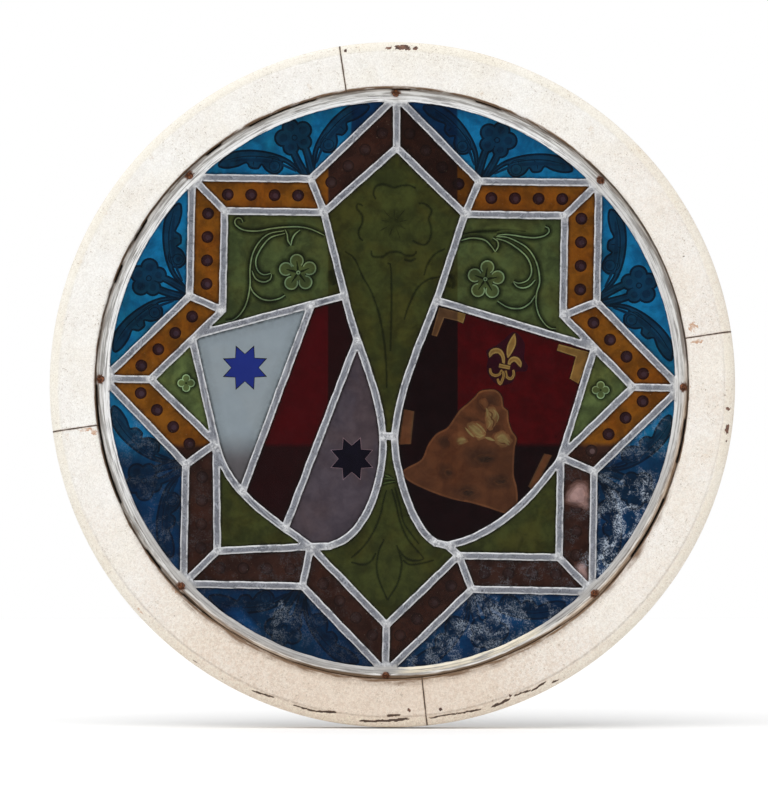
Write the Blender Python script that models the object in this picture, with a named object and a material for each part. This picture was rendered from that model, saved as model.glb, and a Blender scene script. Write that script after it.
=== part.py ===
"""Stained glass roundel: a leaded panel in a round rebated frame of four timber segments.

The front faces -Y and the frame's back face lies in the plane Y = 0. The origin is on that
back face, at the top of the ring, half way across the timber. Drawings of the panel are made
as (x, z) points about the middle of the disc, seen from the front.
"""
import math

import bmesh
import bpy
from mathutils import Vector

# Timber frame, in metres and degrees
OUTER_RADIUS = 0.380
FRAME_FACE = 0.051
FRAME_DEPTH = 0.042
LIP_WIDTH = 0.013
LIP_DEPTH = 0.022
ARRIS_WIDTH = 0.011
ARRIS_DROP = 0.009
ARRIS_FACETS = 3
JOINT_BEARINGS = (8.4, 98.6, 188.1, 276.1)
JOINT_GAP = 0.0008

# Leaded panel
PANEL_FIT = 0.0027
BORDER_CAME_WIDTH = 0.0127
CAME_WIDTH = 0.0094
CAME_THICKNESS = 0.0060
HEART = 0.0016
GLASS_THICKNESS = 0.0030
CLEARANCE = 0.0003

# Eight-pointed star, which is two squares laid one over the other
POINTS = 8
STAR_TURN = -1.1
BAND_WIDTH = 0.037

# Places where the hand-made star strays from the regular one, as shares of its inner radius
STRAYS = {
    ("inner_tip", 2): (0.005, -0.019),
    ("inner_notch", 4): (-0.014, 0.033),
    ("inner_notch", 5): (-0.027, 0.026),
}

# Putty bead round the panel, and the nails that hold the panel in
PUTTY_WIDTH = 0.0060
PUTTY_HEIGHT = 0.0076
PUTTY_TOE = 0.0015
NAIL_TURN = -1.0
NAIL_LENGTH = 0.0150
NAIL_RADIUS = 0.0014
NAIL_HEAD_RADIUS = 0.0030
NAIL_HEAD_THICKNESS = 0.0014

# Facets of the round forms
RING_STEP = 5.0
CURVE_STEPS = 8
NAIL_SIDES = 10

# Sizes that follow from the ones above
REBATE_RADIUS = OUTER_RADIUS - FRAME_FACE
LIP_RADIUS = REBATE_RADIUS - LIP_WIDTH
RING_MIDDLE = (OUTER_RADIUS + LIP_RADIUS) / 2
PANEL_RADIUS = REBATE_RADIUS - PANEL_FIT
PANEL_BACK = -LIP_DEPTH - CLEARANCE
PANEL_FRONT = PANEL_BACK - CAME_THICKNESS
GLASS_MIDDLE = (PANEL_BACK + PANEL_FRONT) / 2
STAR_RADIUS = PANEL_RADIUS - BORDER_CAME_WIDTH / 2
INNER_RADIUS = STAR_RADIUS - BAND_WIDTH * math.sqrt(2)
STAR_STEP = 360 / POINTS
NOTCH_SHARE = math.cos(math.radians(STAR_STEP)) / math.cos(math.radians(STAR_STEP / 2))
NAIL_LEVEL = PANEL_FRONT - CLEARANCE - NAIL_HEAD_RADIUS
DISC_MIDDLE = Vector((0, 0, -RING_MIDDLE))


# Materials

def painted(name, colour, roughness, metallic=0.0):
    """Return a Principled material with one colour."""
    material = bpy.data.materials.new(name)
    material.use_nodes = True
    shader = material.node_tree.nodes["Principled BSDF"]
    shader.inputs["Base Color"].default_value = (*colour, 1)
    shader.inputs["Roughness"].default_value = roughness
    shader.inputs["Metallic"].default_value = metallic
    return material


# Meshes

def lofted(mesh, loops, closed=False):
    """Join equal loops of points into one body: walls between neighbours, and a cap at each end."""
    rings = [[mesh.verts.new(point) for point in loop] for loop in loops]
    pairs = list(zip(rings, rings[1:]))
    if closed:
        pairs.append((rings[-1], rings[0]))
    for near, far in pairs:
        for i in range(len(near)):
            j = (i + 1) % len(near)
            mesh.faces.new((near[i], near[j], far[j], far[i]))
    if not closed:
        mesh.faces.new(rings[0])
        mesh.faces.new(reversed(rings[-1]))


def body(name, build, material):
    """Make an object about the middle of the disc from a function that fills a bmesh."""
    mesh = bmesh.new()
    build(mesh)
    bmesh.ops.recalc_face_normals(mesh, faces=mesh.faces)
    data = bpy.data.meshes.new(name)
    mesh.to_mesh(data)
    mesh.free()
    data.shade_smooth()
    data.set_sharp_from_angle(angle=math.radians(30))
    data.materials.append(material)
    piece = bpy.data.objects.new(name, data)
    piece.location = DISC_MIDDLE
    bpy.context.scene.collection.objects.link(piece)
    return piece


def cut(piece, cutter):
    """Take the cutter's shape out of a piece."""
    modifier = piece.modifiers.new("cut", "BOOLEAN")
    modifier.operation = "DIFFERENCE"
    modifier.solver = "EXACT"
    modifier.object = cutter


def hidden(cutter):
    """Keep a cutter out of the finished model."""
    cutter.hide_render = True
    cutter.display_type = "WIRE"
    return cutter


# Places on the disc

def polar(radius, degrees):
    """Return the (x, z) point at a radius and a bearing, counter-clockwise from +X."""
    turn = math.radians(degrees)
    return Vector((radius * math.cos(turn), radius * math.sin(turn)))


def placed(point, level):
    """Put an (x, z) point at a level along Y."""
    return (point.x, level, point.y)


def within_facets(radius):
    """Return the largest radius that stays clear inside a faceted wall of the given radius."""
    return radius * math.cos(math.radians(RING_STEP / 2)) - CLEARANCE


PUTTY_OUTER = within_facets(REBATE_RADIUS)
PUTTY_INNER = PUTTY_OUTER - PUTTY_WIDTH
NAIL_NECK = within_facets(PUTTY_INNER)
NAIL_HEAD = NAIL_NECK - NAIL_HEAD_THICKNESS
NAIL_END = NAIL_HEAD + NAIL_LENGTH


# Curves, as functions from 0 to 1

def line(start, end):
    """Return a straight run."""
    return lambda t: start.lerp(end, t)


def sweep(start, lean_start, lean_end, end):
    """Return a smooth curve that leaves and arrives towards its two leaning points."""
    def at(t):
        s = 1 - t
        return s**3 * start + 3 * s * s * t * lean_start + 3 * s * t * t * lean_end + t**3 * end
    return at


def run(curve, first=0.0, last=1.0, steps=1):
    """Return points along a curve between two of its parameters."""
    return [curve(first + (last - first) * i / steps) for i in range(steps + 1)]


def bent(curve, first=0.0, last=1.0):
    """Return points along a bent curve, with steps in proportion to the stretch taken."""
    return run(curve, first, last, max(2, round(CURVE_STEPS * abs(last - first))))


def chained(*runs):
    """Join runs that follow on smoothly into one side."""
    side = list(runs[0])
    for points in runs[1:]:
        side += points[1:]
    return side


# The drawing of the panel

def star_points():
    """Return the came junctions of the star, by name and number."""
    places = {}
    for k in range(POINTS):
        tip_bearing = STAR_STEP * k + STAR_TURN
        notch_bearing = tip_bearing + STAR_STEP / 2
        places["tip", k] = polar(STAR_RADIUS, tip_bearing)
        places["notch", k] = polar(STAR_RADIUS * NOTCH_SHARE, notch_bearing)
        places["inner_tip", k] = polar(INNER_RADIUS, tip_bearing)
        places["inner_notch", k] = polar(INNER_RADIUS * NOTCH_SHARE, notch_bearing)
    for key, stray in STRAYS.items():
        places[key] += Vector(stray) * INNER_RADIUS
    return places


def star_sides():
    """Return the sides of the panes between the star and the border, by pane name."""
    at = star_points()
    panes = {}
    for k in range(POINTS):
        after = (k + 1) % POINTS
        bearing = STAR_STEP * k + STAR_TURN
        arc_steps = round(STAR_STEP / RING_STEP)
        rim = [polar(STAR_RADIUS, bearing + STAR_STEP * i / arc_steps) for i in range(arc_steps + 1)]
        tip, tip_after, notch = at["tip", k], at["tip", after], at["notch", k]
        inner, inner_after, inner_notch = at["inner_tip", k], at["inner_tip", after], at["inner_notch", k]
        panes[f"blue_pane_{k + 1}"] = [rim, [tip_after, notch], [notch, tip]]
        panes[f"band_pane_{2 * k + 1}"] = loop_sides(tip, notch, inner_notch, inner)
        panes[f"band_pane_{2 * k + 2}"] = loop_sides(notch, tip_after, inner_after, inner_notch)
    return panes


def loop_sides(*corners):
    """Return the straight sides between corners, back to the first one."""
    return [[a, b] for a, b in zip(corners, corners[1:] + corners[:1])]


def drawn(x, z):
    """Return a point of the two shields, drawn as shares of the inner star's radius."""
    return Vector((x, z)) * INNER_RADIUS


def shield_sides():
    """Return the sides of the shield panes and of the green panes round them, by pane name."""
    at = star_points()
    tips = [at["inner_tip", k] for k in range(POINTS)]
    notches = [at["inner_notch", k] for k in range(POINTS)]

    # Left shield, which runs from the star's left line down to two notches of the star
    left_line = line(notches[3], tips[4])
    shoulder, flank_top = left_line(0.35), left_line(0.42)
    left_corner = drawn(-0.192, 0.364)
    left_waist = drawn(-0.034, -0.219)
    left_top = line(shoulder, left_corner)
    left_flank = line(flank_top, notches[4])
    left_inside = sweep(left_corner, drawn(-0.150, 0.165), drawn(-0.047, -0.013), left_waist)
    left_belly = sweep(left_waist, drawn(-0.021, -0.384), drawn(-0.109, -0.717), notches[5])
    left_foot = sweep(notches[4], drawn(-0.683, -0.456), drawn(-0.488, -0.560), notches[5])

    # The slanting band across it, between two cames
    upper_head, upper_foot = 0.775, 0.39
    lower_head, lower_foot = 0.31, 0.78
    upper_came = line(left_top(upper_head), left_foot(upper_foot))
    lower_came = line(left_inside(lower_head), left_foot(lower_foot))

    # Right shield, which hangs clear of the star at its foot
    right_line = line(notches[0], tips[0])
    right_corner = drawn(0.189, 0.344)
    right_shoulder = right_line(0.45)
    right_waist = drawn(0.015, -0.219)
    right_foot = drawn(0.235, -0.671)
    right_top = line(right_corner, right_shoulder)
    right_flank = line(right_shoulder, notches[7])
    right_inside = sweep(right_corner, drawn(0.119, 0.161), drawn(0.033, -0.022), right_waist)
    right_belly = sweep(right_waist, drawn(0.007, -0.314), drawn(0.093, -0.689), right_foot)
    right_side = sweep(notches[7], drawn(0.593, -0.473), drawn(0.436, -0.628), right_foot)

    return {
        "left_shield_pale_pane": [
            [shoulder, flank_top], run(left_flank), bent(left_foot, 0, upper_foot),
            run(upper_came, 1, 0), run(left_top, upper_head, 0)],
        "left_shield_red_pane": [
            run(upper_came), bent(left_foot, upper_foot, lower_foot), run(lower_came, 1, 0),
            bent(left_inside, lower_head, 0), run(left_top, 1, upper_head)],
        "left_shield_grey_pane": [
            run(lower_came), bent(left_foot, lower_foot, 1),
            chained(bent(left_belly, 1, 0), bent(left_inside, 1, lower_head))],
        "right_shield_pane": [
            chained(bent(right_inside), bent(right_belly)), bent(right_side, 1, 0),
            run(right_flank, 1, 0), run(right_top, 1, 0)],
        "green_pane_top": [
            [tips[2], notches[2]], [notches[2], left_corner], bent(left_inside),
            [left_waist, right_waist], bent(right_inside, 1, 0), [right_corner, notches[1]],
            [notches[1], tips[2]]],
        "green_pane_bottom": [
            bent(left_belly), [notches[5], tips[6]], [tips[6], notches[6]],
            [notches[6], right_foot], bent(right_belly, 1, 0), [right_waist, left_waist]],
        "green_pane_upper_left": [
            [tips[3], notches[3]], run(left_line, 0, 0.35), run(left_top),
            [left_corner, notches[2]], [notches[2], tips[3]]],
        "green_pane_left": [
            run(left_line, 0.42, 1), [tips[4], notches[4]], run(left_flank, 1, 0)],
        "green_pane_lower_left": [
            [notches[4], tips[5]], [tips[5], notches[5]], bent(left_foot, 1, 0)],
        "green_pane_lower_right": [
            [notches[6], tips[7]], [tips[7], notches[7]], bent(right_side),
            [right_foot, notches[6]]],
        "green_pane_right": [
            [notches[7], tips[0]], run(right_line, 1, 0.45), run(right_flank)],
        "green_pane_upper_right": [
            run(right_line, 0.45, 0), [notches[0], tips[1]], [tips[1], notches[1]],
            [notches[1], right_corner], run(right_top)],
    }


# Insetting a pane's sides

def moved_side(points, distance):
    """Move an open run of points to its left by a distance, and lengthen both ends."""
    ways = [(b - a).normalized() for a, b in zip(points, points[1:])]
    lefts = [Vector((-way.y, way.x)) for way in ways]
    moved = [points[0] + lefts[0] * distance]
    for point, before, after in zip(points[1:-1], lefts, lefts[1:]):
        moved.append(point + (before + after) * distance / (1 + before.dot(after)))
    moved.append(points[-1] + lefts[-1] * distance)
    reach = 6 * distance
    moved[0] = moved[0] - ways[0] * reach
    moved[-1] = moved[-1] + ways[-1] * reach
    return moved


def crossing(a, b, c, d):
    """Return the point where segments ab and cd cross, or None."""
    along, other = b - a, d - c
    scale = along.cross(other)
    if abs(scale) < 1e-12:
        return None
    t = (c - a).cross(other) / scale
    u = (c - a).cross(along) / scale
    return a + along * t if 0 <= t <= 1 and 0 <= u <= 1 else None


def trimmed(before, after):
    """Cut two moved sides back to the corner where they meet."""
    for i in range(len(before) - 1, 0, -1):
        for j in range(len(after) - 1):
            corner = crossing(before[i - 1], before[i], after[j], after[j + 1])
            if corner is not None:
                return before[:i] + [corner], [corner] + after[j + 1:]
    raise ValueError("two neighbouring sides of a pane don't meet")


def inset(sides, border_share, inner_share):
    """Return a pane's outline, set in from each side, and further from the border came."""
    moved = []
    for side in sides:
        on_border = min(point.length for point in side) > STAR_RADIUS - CAME_WIDTH / 2
        moved.append(moved_side(side, border_share if on_border else inner_share))
    for i in range(len(moved)):
        before = i - 1
        moved[before], moved[i] = trimmed(moved[before], moved[i])
    return [point for side in moved for point in side[:-1]]


# The pieces

def timber_section():
    """Return the frame's section as (radius, level) points: lip, back, rounded arris, face, rebate."""
    section = [(LIP_RADIUS, -LIP_DEPTH), (LIP_RADIUS, 0), (OUTER_RADIUS, 0)]
    for i in range(ARRIS_FACETS + 1):
        turn = math.radians(90 * i / ARRIS_FACETS)
        radius = OUTER_RADIUS - ARRIS_WIDTH * (1 - math.cos(turn))
        section.append((radius, -FRAME_DEPTH + ARRIS_DROP * (1 - math.sin(turn))))
    return section + [(REBATE_RADIUS, -FRAME_DEPTH), (REBATE_RADIUS, -LIP_DEPTH)]


def turned(section, bearings):
    """Return the section's loop at each bearing."""
    return [[placed(polar(radius, bearing), level) for radius, level in section]
            for bearing in bearings]


def timber_segment(name, start, end, material, pockets):
    """Make one segment of the frame, between two joints, with the nails' pockets in its rebate."""
    half_gap = math.degrees(JOINT_GAP / 2 / RING_MIDDLE)
    start, end = start + half_gap, end - half_gap
    steps = math.ceil((end - start) / RING_STEP)
    bearings = [start + (end - start) * i / steps for i in range(steps + 1)]
    segment = body(name, lambda mesh: lofted(mesh, turned(timber_section(), bearings)), material)
    cut(segment, pockets)


def prisms(outlines, levels):
    """Return a function that fills a bmesh with one straight prism for each outline."""
    def build(mesh):
        for outline in outlines:
            lofted(mesh, [[placed(point, level) for point in outline] for level in levels])
    return build


def came_lattice(panes, material):
    """Make the soldered lead: a disc cut through at every pane, and grooved for the glass."""
    rim = [polar(PANEL_RADIUS, RING_STEP * i) for i in range(round(360 / RING_STEP))]
    lattice = body("lead_came_lattice", prisms([rim], (PANEL_FRONT, PANEL_BACK)), material)

    sights = [inset(sides, BORDER_CAME_WIDTH / 2, CAME_WIDTH / 2) for sides in panes.values()]
    through = (PANEL_FRONT - CAME_THICKNESS, PANEL_BACK + CAME_THICKNESS)
    cut(lattice, hidden(body("sight_openings", prisms(sights, through), material)))

    seats = [inset(sides, HEART / 2, HEART / 2) for sides in panes.values()]
    half_groove = GLASS_THICKNESS / 2 + CLEARANCE
    groove = (GLASS_MIDDLE - half_groove, GLASS_MIDDLE + half_groove)
    cut(lattice, hidden(body("glass_grooves", prisms(seats, groove), material)))


def pane(name, sides, material):
    """Make one piece of flat glass, held in the cames' grooves."""
    edge = HEART / 2 + CLEARANCE
    levels = (GLASS_MIDDLE - GLASS_THICKNESS / 2, GLASS_MIDDLE + GLASS_THICKNESS / 2)
    body(name, prisms([inset(sides, edge, edge)], levels), material)


def putty_ring(material, pockets):
    """Make the bead of putty in the corner between the rebate and the panel's border came."""
    foot = PANEL_FRONT - CLEARANCE
    crest = foot - PUTTY_HEIGHT
    middle = (PUTTY_INNER + PUTTY_OUTER) / 2
    section = [
        (PUTTY_INNER, foot), (PUTTY_OUTER, foot), (PUTTY_OUTER, crest),
        (middle, crest + PUTTY_TOE), (PUTTY_INNER, foot - PUTTY_TOE)]
    bearings = [RING_STEP * i for i in range(round(360 / RING_STEP))]
    ring = body("putty_ring", lambda mesh: lofted(mesh, turned(section, bearings), closed=True), material)
    cut(ring, pockets)


def rod(mesh, bearing, profile):
    """Make a round rod along a bearing at the nails' level, from (radius out, rod radius) pairs."""
    out = polar(1, bearing)
    side = Vector((-out.y, out.x))
    loops = []
    for distance, thickness in profile:
        loop = []
        for i in range(NAIL_SIDES):
            turn = math.tau * (i + 0.5) / NAIL_SIDES
            across = out * distance + side * thickness * math.cos(turn)
            loop.append(placed(across, NAIL_LEVEL + thickness * math.sin(turn)))
        loops.append(loop)
    lofted(mesh, loops)


def nail_bearings():
    """Return the bearing of each nail: one at every tip of the star."""
    return [STAR_STEP * k + NAIL_TURN for k in range(POINTS)]


def nail_pockets(material):
    """Make the holes that the nails sit in, through the putty and into the timber."""
    hole = NAIL_RADIUS + CLEARANCE

    def holes(mesh):
        for bearing in nail_bearings():
            rod(mesh, bearing, [(NAIL_HEAD, hole), (NAIL_END + CLEARANCE, hole)])

    return hidden(body("nail_pockets", holes, material))


def glazing_nail(number, bearing, material):
    """Make one nail: a round head over the border came and a shank with a blunt point."""
    head_edge = (NAIL_HEAD + NAIL_NECK) / 2
    profile = [
        (NAIL_HEAD, NAIL_HEAD_RADIUS * 0.8), (head_edge, NAIL_HEAD_RADIUS),
        (NAIL_NECK, NAIL_HEAD_RADIUS), (NAIL_NECK, NAIL_RADIUS),
        (NAIL_END - 2 * NAIL_RADIUS, NAIL_RADIUS), (NAIL_END, NAIL_RADIUS / 2)]
    body(f"glazing_nail_{number}", lambda mesh: rod(mesh, bearing, profile), material)


def clear_scene():
    """Remove every object."""
    for existing in list(bpy.data.objects):
        bpy.data.objects.remove(existing)


def main():
    """Build the roundel."""
    clear_scene()
    paint = painted("aged_cream_paint", (0.80, 0.75, 0.65), 0.7)
    lead = painted("oxidised_lead", (0.42, 0.43, 0.47), 0.55, 0.6)
    putty = painted("weathered_putty", (0.45, 0.40, 0.34), 0.9)
    rust = painted("rusty_iron", (0.20, 0.08, 0.04), 0.9, 0.3)
    glass = {
        "blue": painted("blue_glass", (0.01, 0.13, 0.35), 0.15),
        "band": painted("amber_glass", (0.28, 0.10, 0.02), 0.2),
        "green": painted("green_glass", (0.06, 0.09, 0.03), 0.2),
        "left_shield_pale": painted("pale_glass", (0.33, 0.38, 0.41), 0.2),
        "left_shield_red": painted("red_glass", (0.11, 0.005, 0.01), 0.15),
        "left_shield_grey": painted("grey_glass", (0.11, 0.09, 0.10), 0.2),
        "right_shield": painted("ruby_glass", (0.09, 0.005, 0.01), 0.15),
    }

    pockets = nail_pockets(rust)
    corners = ("upper_right", "upper_left", "lower_left", "lower_right")
    ends = JOINT_BEARINGS[1:] + (JOINT_BEARINGS[0] + 360,)
    for corner, start, end in zip(corners, JOINT_BEARINGS, ends):
        timber_segment(f"timber_segment_{corner}", start, end, paint, pockets)

    panes = {**star_sides(), **shield_sides()}
    came_lattice(panes, lead)
    for name, sides in panes.items():
        kind = name[:name.index("_pane")]
        colour = next(key for key in glass if kind.startswith(key))
        pane(name, sides, glass[colour])

    putty_ring(putty, pockets)
    for number, bearing in enumerate(nail_bearings(), 1):
        glazing_nail(number, bearing, rust)


main()
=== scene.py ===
"""Looks of the stained glass roundel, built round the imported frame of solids.

Places on the disc are (x, z) points in millimetres about its middle, seen from the front.
Bearings are in degrees, counter-clockwise from +X.
"""
import math

import bmesh
import bpy
import numpy as np
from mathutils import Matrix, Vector, noise
from mathutils.geometry import delaunay_2d_cdt
from mathutils.kdtree import KDTree


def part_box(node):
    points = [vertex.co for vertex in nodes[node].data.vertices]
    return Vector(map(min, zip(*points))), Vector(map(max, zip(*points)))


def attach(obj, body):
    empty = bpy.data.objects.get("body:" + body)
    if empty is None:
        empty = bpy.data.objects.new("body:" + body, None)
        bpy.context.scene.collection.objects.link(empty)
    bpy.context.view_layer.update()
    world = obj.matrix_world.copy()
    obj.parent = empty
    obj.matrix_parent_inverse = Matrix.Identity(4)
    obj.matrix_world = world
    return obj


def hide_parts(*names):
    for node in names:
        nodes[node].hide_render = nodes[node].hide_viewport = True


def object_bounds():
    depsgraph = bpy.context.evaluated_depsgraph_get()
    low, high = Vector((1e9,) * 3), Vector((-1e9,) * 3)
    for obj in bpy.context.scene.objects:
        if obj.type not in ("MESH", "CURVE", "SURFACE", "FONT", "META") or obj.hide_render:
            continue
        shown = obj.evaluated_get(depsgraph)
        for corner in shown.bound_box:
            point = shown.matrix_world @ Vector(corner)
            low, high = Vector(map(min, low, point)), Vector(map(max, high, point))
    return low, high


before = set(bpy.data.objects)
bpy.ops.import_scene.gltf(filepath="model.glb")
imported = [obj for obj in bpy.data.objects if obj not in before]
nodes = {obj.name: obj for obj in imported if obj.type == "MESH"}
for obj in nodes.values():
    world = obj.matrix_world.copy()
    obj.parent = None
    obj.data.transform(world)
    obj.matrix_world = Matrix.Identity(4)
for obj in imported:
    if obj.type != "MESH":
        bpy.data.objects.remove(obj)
cad_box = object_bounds()

MM = 0.001
PANEL_LOW, PANEL_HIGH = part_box("lead_came_lattice")
GLASS_LOW, GLASS_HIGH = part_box("blue_pane_1")
MIDDLE_Z = (PANEL_LOW.z + PANEL_HIGH.z) / 2
PANEL_RADIUS = (PANEL_HIGH.x - PANEL_LOW.x) / 2 / MM
PANEL_FRONT, PANEL_BACK = PANEL_LOW.y / MM, PANEL_HIGH.y / MM
GLASS_FRONT, GLASS_BACK = GLASS_LOW.y / MM, GLASS_HIGH.y / MM
OUTER_RADIUS = min(-cad_box[0].x, cad_box[1].x) / MM - 0.05
FRAME_DEPTH = -cad_box[0].y / MM

# Star and cames, in millimetres
POINTS = 8
STAR_TURN = -1.1
CAME_WIDTH = 9.4
BORDER_CAME_WIDTH = 12.7
SIGHT_RADIUS = PANEL_RADIUS - BORDER_CAME_WIDTH
BAND_WIDTH = 37.0
STAR_RADIUS = PANEL_RADIUS - BORDER_CAME_WIDTH / 2
NOTCH_SHARE = math.cos(math.radians(45)) / math.cos(math.radians(22.5))

# Timber section, in millimetres
FRAME_FACE = 51.0
LIP_WIDTH = 13.0
LIP_DEPTH = 22.0
ARRIS_WIDTH = 11.0
ARRIS_DROP = 9.0
REBATE_RADIUS = OUTER_RADIUS - FRAME_FACE
FACE_RADIUS = OUTER_RADIUS - ARRIS_WIDTH
# How far paint and filler close each joint between segments, in degrees at either end
JOINT_FILL = 0.05
# Millimetres for each degree of turn, at the putty and at the outer edge of the timber's face
PUTTY_ARC = 5.7
FACE_ARC = 6.5


# Points on the disc

def polar(radius, degrees):
    """Return the point at a radius and a bearing."""
    turn = math.radians(degrees)
    return Vector((radius * math.cos(turn), radius * math.sin(turn)))


def bearing_of(point):
    """Return a point's bearing, from 0 to 360 degrees."""
    return math.degrees(math.atan2(point[1], point[0])) % 360


def turn_from(start, bearing):
    """Return the turn from one bearing to another, from -180 to 180 degrees."""
    return (bearing - start + 180) % 360 - 180


def in_frame(point, level):
    """Return an (x, z) point and a level along Y, in millimetres, as a place in the frame."""
    return (point[0] * MM, level * MM, point[1] * MM + MIDDLE_Z)


def at_level(points, level):
    """Return (x, z) points at a level along Y as places in the frame."""
    return [in_frame(point, level) for point in points]


def smooth(low, high, value):
    """Return 0 below low, 1 above high, and a smooth step between."""
    share = min(max((value - low) / (high - low), 0), 1)
    return share * share * (3 - 2 * share)


def rough(place, size, seed=0.0):
    """Return smooth noise from about -1 to 1 for a place in millimetres, at a size of lumps."""
    return noise.noise(Vector((place[0] / size, place[1] / size, seed)))


# Outlines from the frame's solids

def flat_loops(node, level):
    """Return the border loops of a node's flat faces at a level along Y."""
    mesh = nodes[node].data
    edges = set()
    for face in mesh.polygons:
        corners = [mesh.vertices[i].co for i in face.vertices]
        if all(abs(corner.y / MM - level) < 0.01 for corner in corners):
            keys = [(round(c.x / MM, 3), round((c.z - MIDDLE_Z) / MM, 3)) for c in corners]
            for a, b in zip(keys, keys[1:] + keys[:1]):
                if (b, a) in edges:
                    edges.remove((b, a))
                else:
                    edges.add((a, b))
    follow = dict(edges)
    loops = []
    while follow:
        start = point = next(iter(follow))
        loop = []
        while point in follow:
            loop.append(Vector(point))
            point = follow.pop(point)
        if point == start and len(loop) > 2:
            loops.append(loop)
    return loops


def turning(before, point, after):
    """Return the angle that an outline turns by at a point, in degrees."""
    return math.degrees((point - before).angle(after - point, 0))


def rounded(loop, step, corner=20):
    """Return a closed outline with points every step or so, bent smoothly except at its corners."""
    count = len(loop)
    lean = []
    for i, point in enumerate(loop):
        before, after = loop[i - 1], loop[(i + 1) % count]
        sharp = turning(before, point, after) > corner
        lean.append(None if sharp else (after - before).normalized())
    fine = []
    for i in range(count):
        start, end = loop[i], loop[(i + 1) % count]
        reach = (end - start).length
        way = (end - start).normalized()
        leave = (lean[i] or way) * reach
        arrive = (lean[(i + 1) % count] or way) * reach
        steps = max(1, round(reach / step))
        for k in range(steps):
            t = k / steps
            a, b = 2 * t**3 - 3 * t * t + 1, t**3 - 2 * t * t + t
            c, d = 3 * t * t - 2 * t**3, t**3 - t * t
            fine.append(start * a + leave * b + end * c + arrive * d)
    return fine


def shifted(loop, distance):
    """Return an outline's points moved to their left by a distance, with no tidying of corners."""
    moved = []
    for i, point in enumerate(loop):
        way = (loop[(i + 1) % len(loop)] - loop[i - 1]).normalized()
        moved.append(point + Vector((-way.y, way.x)) * distance)
    return moved


def centroid(loop):
    """Return the mean of an outline's points."""
    return sum(loop, Vector((0, 0))) / len(loop)


def area(loop):
    """Return an outline's area, above 0 if it runs counter-clockwise."""
    return sum(a.cross(b) for a, b in zip(loop, loop[1:] + loop[:1])) / 2


def tree_of(points):
    """Return a tree that finds the nearest of some (x, z) points."""
    tree = KDTree(len(points))
    for i, point in enumerate(points):
        tree.insert((point[0], point[1], 0), i)
    tree.balance()
    return tree


PANES = {}
for pane_name in sorted(nodes):
    if pane_name.endswith("_pane") or "_pane_" in pane_name:
        PANES[pane_name] = max(flat_loops(pane_name, GLASS_FRONT), key=area)


# Meshes

def inside(outline, places):
    """Tell which of an array of (x, z) places lie in a closed outline, which may cross itself."""
    ring = np.array([(p[0], p[1]) for p in outline])
    after = np.roll(ring, -1, axis=0)
    low, high = ring.min(axis=0), ring.max(axis=0)
    near = np.flatnonzero(((places >= low) & (places <= high)).all(axis=1))
    x, z = places[near, 0, None], places[near, 1, None]
    side = (after[:, 0] - ring[:, 0]) * (z - ring[:, 1]) - (x - ring[:, 0]) * (after[:, 1] - ring[:, 1])
    rises = (ring[:, 1] <= z) & (after[:, 1] > z) & (side > 0)
    falls = (ring[:, 1] > z) & (after[:, 1] <= z) & (side < 0)
    found = np.zeros(len(places), dtype=bool)
    found[near] = rises.sum(1) != falls.sum(1)
    return found


def triangulated(outlines, extra=()):
    """Triangulate closed outlines laid over each other, of which the first holds all the rest.

    Returns the points, the triangles in the first outline, and for each triangle the number of
    the last outline that it lies in.
    """
    points, edges = [], []
    for outline in outlines:
        first, count = len(points), len(outline)
        edges += [(first + i, first + (i + 1) % count) for i in range(count)]
        points += [Vector((p[0], p[1])) for p in outline]
    points += [Vector((p[0], p[1])) for p in extra]
    found, _, triangles, _, _, _ = delaunay_2d_cdt(points, edges, [], 0, 1e-5)
    places = np.array([(p[0], p[1]) for p in found])
    middles = places[np.array(triangles)].mean(axis=1)
    top = np.full(len(triangles), -1)
    for number, outline in enumerate(outlines):
        top[inside(outline, middles)] = number
    top[~inside(outlines[0], middles)] = -1
    kept = np.flatnonzero(top >= 0)
    return found, [tuple(triangles[i]) for i in kept], [int(top[i]) for i in kept]


def first_only(outlines, extra=()):
    """Return the points and triangles of the first outline with the others cut out of it."""
    found, triangles, owners = triangulated(outlines, extra)
    return found, [t for t, own in zip(triangles, owners) if own == 0]


def woven(rows, count, round_trip=False):
    """Return the faces between closed rows of count places, on to the first row again if asked."""
    faces = []
    for i in range(rows if round_trip else rows - 1):
        start, after = i * count, (i + 1) % rows * count
        for k in range(count):
            next_k = (k + 1) % count
            faces.append((start + k, start + next_k, after + next_k, after + k))
    return faces


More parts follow.
